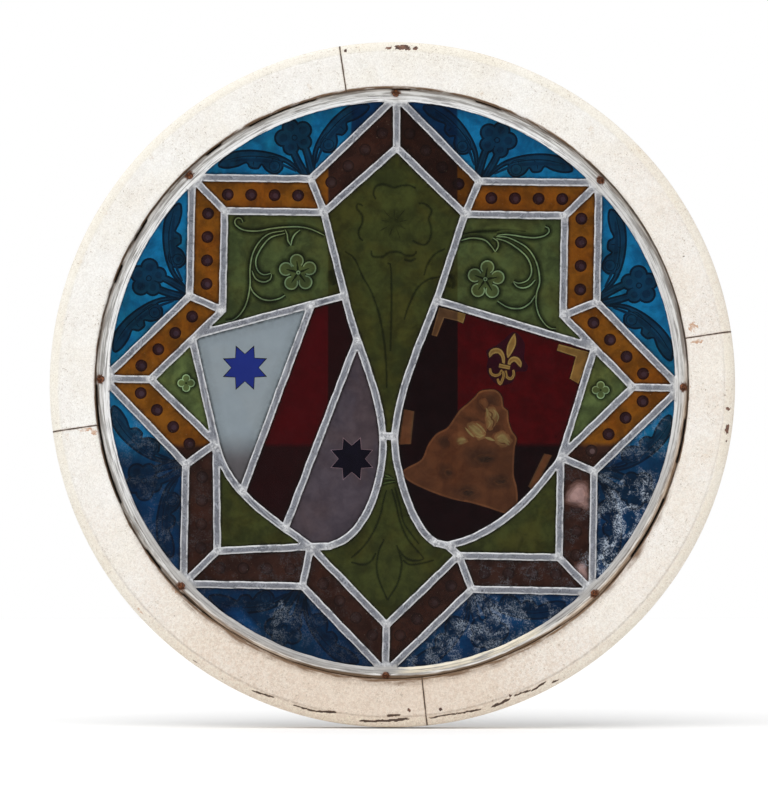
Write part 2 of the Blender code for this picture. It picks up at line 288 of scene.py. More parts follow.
class Shell:
    """A mesh in the making: vertices in the frame, faces, and values at the vertices."""

    def __init__(self):
        self.points, self.faces, self.values = [], [], {}

    def add(self, places, faces, **values):
        """Add vertices and faces, with each value given as one number or one per vertex."""
        first = len(self.points)
        self.points += list(places)
        self.faces += [tuple(first + i for i in face) for face in faces]
        for name, value in values.items():
            row = self.values.setdefault(name, [0.0] * first)
            row += [0.0] * (first - len(row))
            row += list(value) if hasattr(value, "__len__") else [value] * len(places)
        for row in self.values.values():
            row += [0.0] * (len(self.points) - len(row))

    def strip(self, near, far, **values):
        """Join two equal closed rows of places by a wall that faces right of the way along near."""
        self.add(list(near) + list(far), woven(2, len(near)), **values)

    def sweep(self, rows, round_trip=False, **values):
        """Join equal closed rows of places, and close both ends unless the last row meets the first."""
        total, count = len(rows) * len(rows[0]), len(rows[0])
        faces = woven(len(rows), count, round_trip)
        if not round_trip:
            faces += [tuple(range(count)), tuple(range(total - 1, total - count - 1, -1))]
        self.add([place for row in rows for place in row], faces, **values)

    def piece(self, name, material, slot, *replaced, merge=0.02, sharp=35):
        """Make the object, ride it on the body, and let it stand for its nodes."""
        mesh = bpy.data.meshes.new(name)
        mesh.from_pydata(self.points, [], self.faces)
        for key, row in self.values.items():
            mesh.attributes.new(key, "FLOAT", "POINT").data.foreach_set("value", row)
        welded(mesh, merge * MM)
        mesh.shade_smooth()
        mesh.set_sharp_from_angle(angle=math.radians(sharp))
        mesh.materials.append(material)
        made = placed_object(name, mesh)
        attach(made, "root")
        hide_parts(*replaced)
        return made


def placed_object(name, data):
    """Make an object and put it in the scene."""
    made = bpy.data.objects.new(name, data)
    bpy.context.scene.collection.objects.link(made)
    return made


def welded(mesh, distance):
    """Merge vertices that lie together, drop what has no area, and turn the faces outwards."""
    work = bmesh.new()
    work.from_mesh(mesh)
    bmesh.ops.remove_doubles(work, verts=work.verts, dist=distance)
    bmesh.ops.dissolve_degenerate(work, edges=work.edges, dist=distance / 10)
    bmesh.ops.delete(work, geom=[v for v in work.verts if not v.link_faces], context="VERTS")
    bmesh.ops.recalc_face_normals(work, faces=work.faces)
    work.to_mesh(mesh)
    work.free()


# Shader nodes

def linear(red, green, blue):
    """Return a colour as light from its display value, 0 to 255."""
    channels = []
    for value in (red, green, blue):
        share = value / 255
        channels.append(share / 12.92 if share <= 0.04045 else ((share + 0.055) / 1.055) ** 2.4)
    return (*channels, 1.0)


class Paint:
    """A material whose colour and bump come from nodes."""

    def __init__(self, name, roughness, **constants):
        self.material = bpy.data.materials.new(name)
        self.material.use_nodes = True
        self.tree = self.material.node_tree
        self.shader = self.tree.nodes["Principled BSDF"]
        self.shader.inputs["Roughness"].default_value = roughness
        for key, value in constants.items():
            self.shader.inputs[key.replace("_", " ")].default_value = value
        self.place = self.tree.nodes.new("ShaderNodeTexCoord").outputs["Object"]

    def put(self, socket, value):
        """Set an input to a constant, or link it to an output."""
        if isinstance(value, bpy.types.NodeSocket):
            self.tree.links.new(value, socket)
        else:
            socket.default_value = value

    def attribute(self, name, output="Fac"):
        """Return a value stored on the mesh."""
        node = self.tree.nodes.new("ShaderNodeAttribute")
        node.attribute_name = name
        return node.outputs[output]

    def grain(self, scale, detail=4.0, roughness=0.55, distortion=0.0, place=None):
        """Return noise from 0 to 1, at a scale per metre."""
        node = self.tree.nodes.new("ShaderNodeTexNoise")
        self.put(node.inputs["Vector"], place or self.place)
        node.inputs["Scale"].default_value = scale
        node.inputs["Detail"].default_value = detail
        node.inputs["Roughness"].default_value = roughness
        node.inputs["Distortion"].default_value = distortion
        return node.outputs["Fac"]

    def sum(self, operation, a, b=0.0, clamp=False):
        """Return the result of a sum on two numbers."""
        node = self.tree.nodes.new("ShaderNodeMath")
        node.operation = operation
        node.use_clamp = clamp
        self.put(node.inputs[0], a)
        self.put(node.inputs[1], b)
        return node.outputs[0]

    def plus(self, a, b):
        """Return two numbers added."""
        return self.sum("ADD", a, b)

    def minus(self, a, b):
        """Return the second number taken from the first."""
        return self.sum("SUBTRACT", a, b)

    def times(self, a, b, clamp=False):
        """Return two numbers multiplied."""
        return self.sum("MULTIPLY", a, b, clamp)

    def ridges(self, *grain):
        """Return how far noise is from its middle: it falls to 0 along thin winding lines."""
        return self.sum("ABSOLUTE", self.minus(self.grain(*grain), 0.5))

    def step(self, value, low, high, start=0.0, end=1.0):
        """Return a smooth step from start to end as a value goes from low to high."""
        node = self.tree.nodes.new("ShaderNodeMapRange")
        node.interpolation_type = "SMOOTHSTEP"
        self.put(node.inputs["Value"], value)
        for key, number in (("From Min", low), ("From Max", high), ("To Min", start), ("To Max", end)):
            node.inputs[key].default_value = number
        return node.outputs["Result"]

    def mix(self, share, a, b, blend="MIX"):
        """Return two colours mixed."""
        node = self.tree.nodes.new("ShaderNodeMix")
        node.data_type = "RGBA"
        node.blend_type = blend
        self.put(node.inputs[0], share)
        self.put(node.inputs[6], a)
        self.put(node.inputs[7], b)
        return node.outputs[2]

    def streaks(self, scale, detail=4.0, stretch=0.12):
        """Return noise drawn out along the way that the mesh stores, at a scale per metre."""
        node = self.tree.nodes.new("ShaderNodeCombineXYZ")
        self.put(node.inputs[0], self.times(self.attribute("along"), stretch))
        self.put(node.inputs[1], self.attribute("across"))
        return self.grain(scale, detail, 0.6, 0.2, node.outputs[0])

    def axis(self, letter):
        """Return one coordinate of the place, in metres."""
        node = self.tree.nodes.new("ShaderNodeSeparateXYZ")
        self.put(node.inputs[0], self.place)
        return node.outputs[letter]

    def radius(self):
        """Return the distance from the middle of the disc, and the place's share of it each way."""
        across, up = self.axis("X"), self.minus(self.axis("Z"), MIDDLE_Z)
        square = self.plus(self.times(across, across), self.times(up, up))
        out = self.sum("SQRT", square)
        return out, self.sum("DIVIDE", across, out), self.sum("DIVIDE", up, out)

    def ringed(self, scale, detail=4.0, stretch=0.06):
        """Return noise drawn out round the disc, at a scale per metre."""
        out, across, up = self.radius()
        node = self.tree.nodes.new("ShaderNodeCombineXYZ")
        self.put(node.inputs[0], self.times(across, SIGHT_RADIUS * MM * stretch))
        self.put(node.inputs[1], self.times(up, SIGHT_RADIUS * MM * stretch))
        self.put(node.inputs[2], out)
        return self.grain(scale, detail, 0.6, 0.0, node.outputs[0])

    def finish(self, colour, bump=None, strength=0.3, depth=0.001, roughness=None):
        """Link the colour, the bump and the roughness to the shader."""
        self.put(self.shader.inputs["Base Color"], colour)
        if roughness is not None:
            self.put(self.shader.inputs["Roughness"], roughness)
        if bump is not None:
            node = self.tree.nodes.new("ShaderNodeBump")
            node.inputs["Strength"].default_value = strength
            node.inputs["Distance"].default_value = depth
            self.put(node.inputs["Height"], bump)
            self.put(self.shader.inputs["Normal"], node.outputs["Normal"])
        return self.material


# Materials

def timber_paint():
    """Old cream paint on timber: sandy, speckled with dirt, worn through at the chips."""
    paint = Paint("aged_cream_paint", 0.62)
    cloud = paint.step(paint.grain(13, 4, 0.6), 0.4, 0.66)
    base = paint.mix(cloud, linear(251, 250, 247), linear(249, 246, 239))
    cool = paint.step(paint.grain(70, 6, 0.7), 0.48, 0.68, 0, 0.35)
    base = paint.mix(cool, base, linear(234, 232, 227))
    aged = paint.attribute("aged")
    base = paint.mix(aged, base, linear(226, 206, 186))
    base = paint.mix(paint.attribute("yellowed"), base, linear(238, 228, 202))
    crust = paint.step(paint.grain(300, 8, 0.78), 0.45, 0.57)
    crust = paint.times(crust, paint.step(aged, 0, 0.7, 0.05, 0.85))
    base = paint.mix(crust, base, linear(222, 203, 185))
    sand = paint.step(paint.grain(620, 4, 0.65), 0.34, 0.66)
    base = paint.mix(1.0, base, paint.mix(sand, (0.89, 0.88, 0.87, 1), (1.04, 1.04, 1.04, 1)), "MULTIPLY")
    gathered = paint.step(paint.grain(24, 4, 0.6), 0.38, 0.62, 0.2, 1)
    for scale, low, share, shade in (
            (900, 0.60, 0.6, (168, 154, 136)), (420, 0.61, 0.7, (150, 130, 108)),
            (190, 0.67, 0.7, (134, 108, 86))):
        speck = paint.step(paint.grain(scale, 4, 0.65), low, low + 0.06, 0, share)
        base = paint.mix(paint.times(speck, gathered), base, linear(*shade))
    fold = paint.times(paint.step(paint.ridges(120, 7, 0.7, 0.6), 0.0, 0.014, 0.36, 0), gathered)
    base = paint.mix(fold, base, linear(202, 188, 168))
    patch = paint.step(paint.grain(48, 8, 0.75), 0.6, 0.68, 0, 0.35)
    base = paint.mix(patch, base, linear(212, 188, 160))
    tan = paint.step(paint.plus(paint.attribute("peach"), paint.grain(150, 8, 0.75)), 0.95, 1.15)
    base = paint.mix(tan, base, linear(196, 156, 126))
    # Dirt, with painted shade along the inner edge, in the quirk and in the rebate
    dirt_and_shade = paint.times(paint.attribute("grime"), paint.step(paint.grain(170, 8, 0.75), 0.3, 0.62))
    base = paint.mix(dirt_and_shade, base, linear(126, 98, 74))
    lines = paint.step(paint.ringed(420, 6, 0.1), 0.3, 0.65)
    stain = paint.step(paint.times(paint.attribute("stain"), paint.plus(lines, 0.5)), 0.2, 0.8)
    base = paint.mix(stain, base, linear(118, 90, 64))
    figure = paint.step(paint.grain(240, 5, 0.7), 0.35, 0.65)
    wood = paint.mix(figure, linear(132, 94, 74), linear(62, 40, 34))
    bare = paint.step(paint.plus(paint.attribute("bare"), paint.grain(420, 6, 0.75)), 0.98, 1.12)
    base = paint.mix(bare, base, wood)
    base = paint.mix(paint.step(paint.attribute("split"), 0.02, 0.3, 0, 0.4), base, linear(176, 148, 114))
    split = paint.step(paint.plus(paint.attribute("split"), paint.grain(500, 6, 0.75)), 0.8, 1.1)
    base = paint.mix(split, base, linear(74, 54, 42))
    height = paint.plus(paint.grain(420, 8, 0.75), paint.grain(150, 5, 0.6))
    return paint.finish(base, height, 0.75, 0.0016)


def lead_paint():
    """Oxidised lead, dull along its middle, with bright edges of wear and painted highlight, rough solder
    and old white paint.
    """
    lead = Paint("oxidised_lead", 0.5, Metallic=0.2)
    streak = lead.streaks(420, 5)
    base = lead.mix(lead.step(streak, 0.4, 0.6), linear(84, 87, 96), linear(140, 143, 151))
    dull = lead.step(lead.grain(55, 5, 0.6), 0.42, 0.62, 0, 0.5)
    base = lead.mix(dull, base, linear(116, 118, 127))
    scratch = lead.step(lead.streaks(900, 3, 0.05), 0.57, 0.65, 0, 0.8)
    base = lead.mix(scratch, base, linear(66, 66, 72))
    # Bright edges: wear, with painted highlights along both sides of every came
    edge = lead.times(lead.attribute("edge"), lead.step(lead.grain(120, 6, 0.7), 0.34, 0.5, 0.2, 1))
    base = lead.mix(edge, base, linear(228, 229, 231))
    solder = lead.times(lead.attribute("solder"), lead.step(lead.grain(280, 7, 0.75), 0.4, 0.58, 0.25, 1))
    base = lead.mix(solder, base, linear(216, 217, 219))
    pit = lead.times(lead.attribute("solder"), lead.step(lead.grain(420, 6, 0.75), 0.56, 0.64, 0, 0.75))
    base = lead.mix(pit, base, linear(84, 82, 84))
    out, _, _ = lead.radius()
    pale = lead.mix(lead.attribute("bright"), linear(186, 184, 181), linear(250, 250, 249))
    pale = lead.mix(lead.attribute("cream"), pale, linear(240, 230, 208))
    white = lead.mix(lead.step(lead.ringed(520, 6, 0.05), 0.5, 0.64), pale, linear(162, 160, 159))
    white = lead.mix(lead.step(lead.ringed(800, 3, 0.03), 0.6, 0.66, 0, 0.6), white, linear(98, 92, 88))
    # Two dark lines round the border came: a faint seam, and a painted contact shadow where the putty meets
    # it
    for place, share in ((SIGHT_RADIUS + 4.2, 0.3), (SIGHT_RADIUS + 7.4, 0.6)):
        apart = lead.sum("ABSOLUTE", lead.minus(out, place * MM))
        apart = lead.plus(apart, lead.times(lead.ringed(200, 5, 0.12), 0.0012))
        seam_and_shadow = lead.step(apart, 0.0006, 0.0013, share, 0)
        white = lead.mix(seam_and_shadow, white, linear(92, 84, 78))
    base = lead.mix(lead.attribute("whitened"), base, white)
    # Cement, and painted shade where the came runs under the putty
    cement_and_shade = lead.times(lead.attribute("grime"), lead.step(lead.grain(260, 6, 0.7), 0.4, 0.6))
    base = lead.mix(cement_and_shade, base, linear(112, 98, 84))
    rusty = lead.step(lead.plus(lead.attribute("rust"), lead.grain(300, 6, 0.7)), 0.8, 1.15)
    base = lead.mix(rusty, base, linear(112, 66, 38))
    height = lead.plus(streak, lead.grain(600, 5, 0.7))
    return lead.finish(base, height, 0.6, 0.001)


def putty_paint():
    """Putty with old white paint on it, drawn out along the bead, and darkened with dirt and painted shade
    along the timber and in its hollows.
    """
    putty = Paint("weathered_putty", 0.85)
    drawn = putty.step(putty.ringed(520, 6, 0.06), 0.4, 0.6)
    base = putty.mix(drawn, linear(190, 187, 182), linear(126, 120, 114))
    pale = putty.step(putty.ringed(260, 6, 0.12), 0.56, 0.68)
    base = putty.mix(pale, base, linear(228, 226, 221))
    tan = putty.mix(drawn, linear(206, 184, 160), linear(146, 118, 92))
    base = putty.mix(putty.attribute("peach"), base, tan)
    white = putty.mix(drawn, linear(236, 235, 232), linear(168, 165, 161))
    base = putty.mix(putty.attribute("whitened"), base, white)
    line = putty.step(putty.ringed(800, 3, 0.03), 0.6, 0.68, 0, 0.8)
    base = putty.mix(line, base, linear(96, 80, 66))
    brown = putty.step(putty.plus(putty.attribute("brown"), putty.ringed(300, 5, 0.08)), 0.7, 1.1)
    base = putty.mix(brown, base, linear(98, 76, 54))
    # Near black where dirt and painted shade lie: in the hollows and the gap along the timber
    dark = putty.step(putty.plus(putty.attribute("grime"), putty.ringed(420, 5, 0.1)), 0.85, 1.2)
    base = putty.mix(dark, base, linear(34, 27, 23))
    rusty = putty.step(putty.plus(putty.attribute("rust"), putty.grain(300, 6, 0.7)), 0.75, 1.1)
    base = putty.mix(rusty, base, linear(104, 62, 36))
    height = putty.plus(putty.grain(400, 8, 0.75), putty.ringed(400, 5, 0.08))
    return putty.finish(base, height, 0.8, 0.0014)


def rust_paint():
    """Rust, from orange powder to dark scale."""
    rust = Paint("rusty_iron", 0.9)
    base = rust.mix(rust.step(rust.grain(500, 6, 0.7), 0.38, 0.6), linear(142, 84, 48), linear(54, 34, 26))
    return rust.finish(base, rust.grain(700, 6, 0.7), 0.7, 0.0008)


# Glass colours, as display values: painted light where light comes through, and painted shade where it is
# dim behind
TINTS = {
    "blue": ((16, 104, 152), (5, 47, 86)),
    "blue_glow": ((16, 104, 152), (8, 66, 122)),
    "leaf": ((9, 48, 74), (4, 34, 64)),
    "leaf_deep": ((7, 38, 62), (4, 29, 55)),
    "leaf_line": ((4, 26, 44), (5, 22, 42)),
    "amber": ((117, 71, 17), (50, 29, 23)),
    "dot_rim": ((36, 16, 14), (36, 22, 19)),
    "dot_glint": ((58, 42, 52), (84, 66, 66)),
    "dot": ((46, 27, 32), (46, 30, 28)),
    "dot_shine": ((58, 42, 52), (52, 38, 38)),
    "smudge": ((190, 150, 146), (158, 128, 124)),
    "green": ((72, 84, 48), (56, 61, 28)),
    "green_shade": ((46, 54, 28), (42, 46, 20)),
    "green_dark": ((28, 36, 16), (33, 38, 15)),
    "green_light": ((118, 142, 104), (70, 84, 46)),
    "pale": ((142, 153, 160), (94, 91, 94)),
    "star": ((30, 44, 122), (24, 32, 96)),
    "star_line": ((12, 10, 16), (12, 10, 16)),
    "grey": ((80, 73, 82), (75, 67, 75)),
    "dark_star": ((12, 10, 24), (12, 10, 24)),
    "dark_star_line": ((132, 112, 126), (126, 106, 118)),
    "red": ((62, 4, 8), (32, 8, 10)),
    "ruby": ((62, 3, 6), (20, 5, 7)),
    "gold": ((120, 92, 48), (82, 58, 38)),
    "gold_light": ((142, 116, 66), (102, 76, 50)),
    "gold_line": ((44, 22, 16), (34, 18, 14)),
    "plum": ((42, 7, 19), (22, 7, 12)),
    "earth": ((86, 52, 32), (80, 48, 30)),
    "earth_edge": ((104, 68, 42), (96, 60, 38)),
    "earth_shade": ((64, 40, 26), (60, 38, 26)),
    "earth_light": ((124, 108, 68), (106, 94, 60)),
    "earth_dark": ((50, 34, 24), (48, 33, 24)),
}
# Edges of the painted shade on the glass, in millimetres: the strip between DIM_LEFT and DIM_RIGHT, and all
# below DIM_TOP, take the dim tints
DIM_LEFT, DIM_RIGHT, DIM_TOP = -70.0, 74.0, -68.0


def glass_paint(name, roughness):
    """Painted glass: a lit and a dim tint from the mesh, chosen by fixed zones of painted light and painted
    shade that stand for how the light comes through behind.
    """
    glass = Paint(name, roughness, Transmission_Weight=0.25, IOR=1.3, Specular_IOR_Level=0.08)
    # Painted light and shade by place: lit left of DIM_LEFT and right of DIM_RIGHT above DIM_TOP, dim
    # elsewhere, with a leaning, softer edge on fading panes
    across, up = glass.axis("X"), glass.axis("Z")
    top = MIDDLE_Z + 90 * MM
    lean = glass.times(glass.step(up, top, top + 210 * MM, 0, 26 * MM), glass.attribute("fading"))
    lean = glass.plus(lean, DIM_LEFT * MM)
    from_left = glass.minus(across, lean)
    left = glass.step(from_left, -1.2 * MM, 1.2 * MM, 1, 0)
    right = glass.step(across, (DIM_RIGHT - 1.2) * MM, (DIM_RIGHT + 1.2) * MM)
    dim_level = MIDDLE_Z + DIM_TOP * MM
    above = glass.step(up, dim_level - 4 * MM, dim_level + 4 * MM)
    fade = glass.step(up, dim_level - 22 * MM, dim_level + 18 * MM)
    above = glass.mix(glass.attribute("fading"), above, fade)
    lit = glass.times(glass.sum("MAXIMUM", left, right), above)
    tint = glass.mix(lit, glass.attribute("dim_tint", "Color"), glass.attribute("lit_tint", "Color"))
    cloudy = glass.attribute("cloudy")
    warm = glass.times(glass.step(glass.grain(21, 5, 0.6, 0.3), 0.42, 0.62, 0, 0.7), cloudy)
    tint = glass.mix(warm, tint, glass.mix(1.0, tint, (1.06, 0.84, 0.66, 1), "MULTIPLY"))
    cloud = glass.step(glass.grain(60, 7, 0.65, 0.3), 0.32, 0.7)
    shaded = glass.mix(cloud, (0.62, 0.62, 0.66, 1), (1.3, 1.3, 1.26, 1))
    tint = glass.mix(cloudy, tint, glass.mix(1.0, tint, shaded, "MULTIPLY"))
    # Grime and painted shade darken the glass along the cames
    grime = glass.times(glass.attribute("rim"), glass.step(glass.grain(200, 6, 0.7), 0.3, 0.6, 0.35, 1))
    tint = glass.mix(glass.times(grime, 0.7), tint, linear(14, 12, 10))
    drift = glass.step(glass.grain(44, 7, 0.7, 0.3), 0.46, 0.6)
    curds = glass.step(glass.ridges(80, 9, 0.8, 0.3), 0.0, 0.075, 1, 0.04)
    grit = glass.step(glass.grain(640, 4, 0.6), 0.4, 0.58)
    bloom = glass.times(glass.times(drift, curds), grit)
    bloom = glass.times(bloom, glass.attribute("dust"), clamp=True)
    tint = glass.mix(bloom, tint, linear(186, 198, 212))
    fleck = glass.times(glass.step(glass.grain(560, 3, 0.6), 0.66, 0.72), glass.attribute("flecks"))
    tint = glass.mix(fleck, tint, linear(196, 186, 160))
    wave = glass.plus(glass.grain(30, 2), glass.times(bloom, 0.15))
    return glass.finish(tint, wave, 0.12, 0.002)


# Came lattice

LEAD_DOME = 0.9
SEAT_CLEARANCE = 0.1
# Reach of the solder over a junction, at the border and inside it
BORDER_SOLDER = 11.0
SOLDER = 6.0
# Bearings between which the old white paint is cleanest, and how far it blends at both
CLEAN_ZONE = (55, 205, 20)


def joints_of(outlines):
    """Return the soldered junctions: the middles of the groups of pane corners that lie together."""
    corners = []
    for loop in outlines:
        for i, point in enumerate(loop):
            if turning(loop[i - 1], point, loop[(i + 1) % len(loop)]) > 20:
                corners.append(point)
    joints = []
    while corners:
        group = [corners.pop()]
        for point in list(corners):
            if (point - group[0]).length < CAME_WIDTH:
                group.append(point)
                corners.remove(point)
        if len(group) > 1:
            joints.append(centroid(group))
    return joints


def band_between(bearing, start, end, blend):
    """Return 1 between two bearings and 0 elsewhere, with a blend of some degrees at both."""
    half = (end - start) / 2
    return 1 - smooth(half - blend / 2, half + blend / 2, abs(turn_from((start + end) / 2, bearing)))


NAIL_BEARINGS = []
for number in range(1, POINTS + 1):
    nail_low, nail_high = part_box(f"glazing_nail_{number}")
    NAIL_BEARINGS.append(bearing_of((nail_low.x + nail_high.x, nail_low.z + nail_high.z - 2 * MIDDLE_Z)))
NAIL_HEAD_RADIUS = 322.5
RUST_REACH = 5.8


def nail_stain(point):
    """Return how much rust a place has taken from the nearest nail."""
    apart = min((point - polar(NAIL_HEAD_RADIUS, bearing)).length for bearing in NAIL_BEARINGS)
    return 0.95 * math.exp(-(apart / RUST_REACH) ** 2)


def wavering(loop, seed):
    """Return an outline with the small wavers of a hand-cut edge."""
    moved = []
    for point in loop:
        slow = Vector((rough(point, 16, seed), rough(point, 16, seed + 7)))
        quick = Vector((rough(point, 4, seed + 2), rough(point, 4, seed + 9)))
        moved.append(point + slow * 0.5 + quick * 0.18)
    return moved


def came_face(shell, rim, sights, joints, front, crown, spacing, seed):
    """Add one face of the lattice: domed cames that swell over the soldered joints."""
    facing = -1 if front < crown else 1
    near = []
    for loop in sights:
        near += zip(loop[-1:] + loop[:-1], loop, loop[1:] + loop[:1])
    tree = tree_of([point for _, point, _ in near])

    def edge_of(point):
        """Return how far a point is from the nearest came edge, and that edge's direction."""
        before, nearest, after = near[tree.find((point[0], point[1], 0))[1]]
        best, direction = 1e9, Vector((1, 0))
        for a, b in ((before, nearest), (nearest, after)):
            side = b - a
            t = min(max((Vector(point) - a).dot(side) / max(side.length_squared, 1e-9), 0), 1)
            reach = (Vector(point) - a - side * t).length
            if reach < best:
                best, direction = reach, side.normalized()
        forward = direction.y > 1e-6 or (direction.y > -1e-6 and direction.x > 0)
        return best, direction if forward else -direction

    extra = []
    for loop in sights:
        for distance in (0.45, 1.1, 2.0):
            extra += shifted(loop, -distance)
    rows = int(2 * PANEL_RADIUS / spacing)
    for i in range(rows):
        for k in range(rows):
            point = Vector((-PANEL_RADIUS + spacing * (k + 0.5 * (i % 2)), -PANEL_RADIUS + spacing * i))
            if point.length < PANEL_RADIUS - spacing / 2 and edge_of(point)[0] > 2.6:
                extra.append(point)
    found, faces = first_only([rim] + sights, extra)
    places, along, across = [], [], []
    edge, solder, white, bright, cream, grime, rust = [], [], [], [], [], [], []
    for point in found:
        distance, direction = edge_of(point)
        share = min(distance / (CAME_WIDTH / 2), 1)
        share -= share * smooth(SIGHT_RADIUS + 4, SIGHT_RADIUS + 6.2, point.length) * 0.55
        dome = math.sqrt(max(1 - (1 - share) ** 2, 0))
        blob = 0
        for joint in joints:
            apart = (point - joint).length
            size = BORDER_SOLDER if joint.length > STAR_RADIUS - 9 else SOLDER
            if apart < 2 * size:
                blob = max(blob, math.exp(-(apart / size) ** 2) * (1 + 0.4 * rough(point, 3, seed)))
        lump = 0.10 * rough(point, 6, seed) + 0.05 * rough(point, 2, seed + 3)
        level = front + (crown - front) * (dome + 0.45 * blob * min(share * 2, 1)) + facing * lump * share
        places.append(in_frame(point, level))
        # Painted highlight and wear near the came's edges
        edge.append(1 - smooth(0.5, 2.1, distance))
        solder.append(min(blob * 1.2, 1))
        white.append(smooth(SIGHT_RADIUS - 3, SIGHT_RADIUS + 1.5, point.length))
        bearing = bearing_of(point)
        bright.append(band_between(bearing, *CLEAN_ZONE) + 0.45 * band_between(bearing, -15, 60, 20))
        cream.append(0.9 * band_between(bearing, 272, 301, 4))
        # Dirt, with painted shade at the outer rim where the came runs under the putty
        outside = smooth(PANEL_RADIUS - 4, PANEL_RADIUS - 2, point.length)
        grime.append(0.6 * outside + 0.2 * rough(point, 9, 4))
        rust.append(nail_stain(point) if facing < 0 else 0.0)
        if point.length > SIGHT_RADIUS:
            along.append(math.radians(bearing) * SIGHT_RADIUS * MM)
            across.append(point.length * MM)
        else:
            along.append(point.dot(direction) * MM)
            across.append(point.dot(Vector((direction.y, -direction.x))) * MM)
    shell.add(
        places, faces, edge=edge, solder=solder, whitened=white, bright=bright, cream=cream, grime=grime,
        rust=rust, along=along, across=across)


def came_lattice():
    """Make the soldered lead network, with an H section round every pane."""
    rim = [polar(PANEL_RADIUS, angle) for angle in np.arange(0, 360, 0.6)]
    coarse = [loop for loop in flat_loops("lead_came_lattice", PANEL_FRONT) if area(loop) < 0]
    sights = [wavering(shifted(rounded(loop[::-1], 2.2), -0.6), 1.0) for loop in coarse]
    seats = [rounded(loop, 3.0) for loop in PANES.values()]
    joints = joints_of(PANES.values())
    shell = Shell()
    edge_levels = (PANEL_FRONT + LEAD_DOME, PANEL_BACK - LEAD_DOME)
    seat_levels = (GLASS_FRONT - SEAT_CLEARANCE, GLASS_BACK + SEAT_CLEARANCE)
    came_face(shell, rim, sights, joints, edge_levels[0], PANEL_FRONT - LEAD_DOME, spacing=2.4, seed=1.0)
    came_face(shell, rim, sights, joints, edge_levels[1], PANEL_BACK, spacing=5.0, seed=5.0)
    shell.strip(*(at_level(rim, level) for level in edge_levels))
    for sight in sights:
        for edge_level, seat_level in zip(edge_levels, seat_levels):
            shell.strip(at_level(sight, edge_level), at_level(sight, seat_level), edge=0.3)
        seat = min(seats, key=lambda loop: (centroid(loop) - centroid(sight)).length)
        found, faces = first_only([seat, sight])
        for level in seat_levels:
            shell.add(at_level(found, level), faces)
        shell.strip(*(at_level(seat, level) for level in seat_levels))
    shell.piece("came_lattice", lead_paint(), "lead_came", "lead_came_lattice")


# Timber ring

# Chips in the paint: bearing, radius, and size along and across, in degrees and millimetres
CHIPS = (
    (87.9, 373.2, 1.6, 3.3, 1.0), (85.7, 372.8, 0.5, 2.4, 0.9), (90.3, 372.2, 0.6, 1.9, 0.9),
    (97.7, 373.0, 0.3, 1.8, 1.0), (273.3, 361.3, 0.36, 2.3, 1.0), (278.7, 363.7, 0.42, 2.5, 1.0),
    (290.9, 368.7, 0.28, 1.8, 1.0), (300.6, 377.4, 0.35, 1.8, 0.9), (336.9, 377.2, 0.4, 1.4, 0.8),
    (350.0, 375.6, 0.3, 1.2, 0.8), (352.0, 374.6, 0.95, 3.0, 0.85), (355.4, 372.6, 0.45, 3.2, 0.8),
    (234.9, 376.4, 0.8, 1.3, 0.9), (240.3, 376.3, 0.4, 1.5, 0.9), (227.2, 351.0, 0.18, 1.1, 0.8),
    (23.1, 352.0, 0.18, 1.1, 0.8), (259.6, 367.6, 0.5, 1.5, 0.9), (270.4, 366.6, 0.8, 1.5, 0.9),
)
# Cracks in the paint: bearings and radii of their ends, and width, in degrees and millimetres
CRACKS = (
    (245.8, 249.8, 371.8, 369.8, 0.9), (253.2, 257.4, 371.0, 371.2, 0.8),
    (257.2, 260.6, 371.0, 368.0, 1.6), (264.8, 269.4, 374.0, 372.0, 2.0),
    (268.8, 273.2, 372.5, 370.5, 2.2), (269.2, 271.6, 367.2, 365.6, 1.3),
    (276.6, 281.4, 371.2, 371.2, 0.8), (281.2, 285.4, 371.4, 372.8, 1.2),
    (287.3, 290.7, 373.8, 371.8, 2.0), (291.4, 294.6, 370.6, 371.8, 0.9),
    (294.4, 297.4, 373.2, 371.0, 1.1), (298.2, 300.1, 374.6, 377.2, 1.0), (307.8, 309.5, 376.8, 377.6, 1.0),
)
# Tan patches where paint has rubbed thin, as for the chips
PATCHES = (
    (10.2, 338.8, 1.15, 6.6, 0.62), (7.5, 342.0, 0.55, 9.0, 0.6), (188.6, 344.0, 0.5, 11.0, 0.55),
    (189.2, 333.5, 0.95, 5.0, 0.6), (222.2, 374.4, 1.4, 2.4, 0.5), (359.2, 329.5, 0.8, 2.2, 0.6),
    (253.6, 344.0, 0.8, 13.0, 0.34), (224.0, 331.0, 1.6, 3.0, 0.5),
)


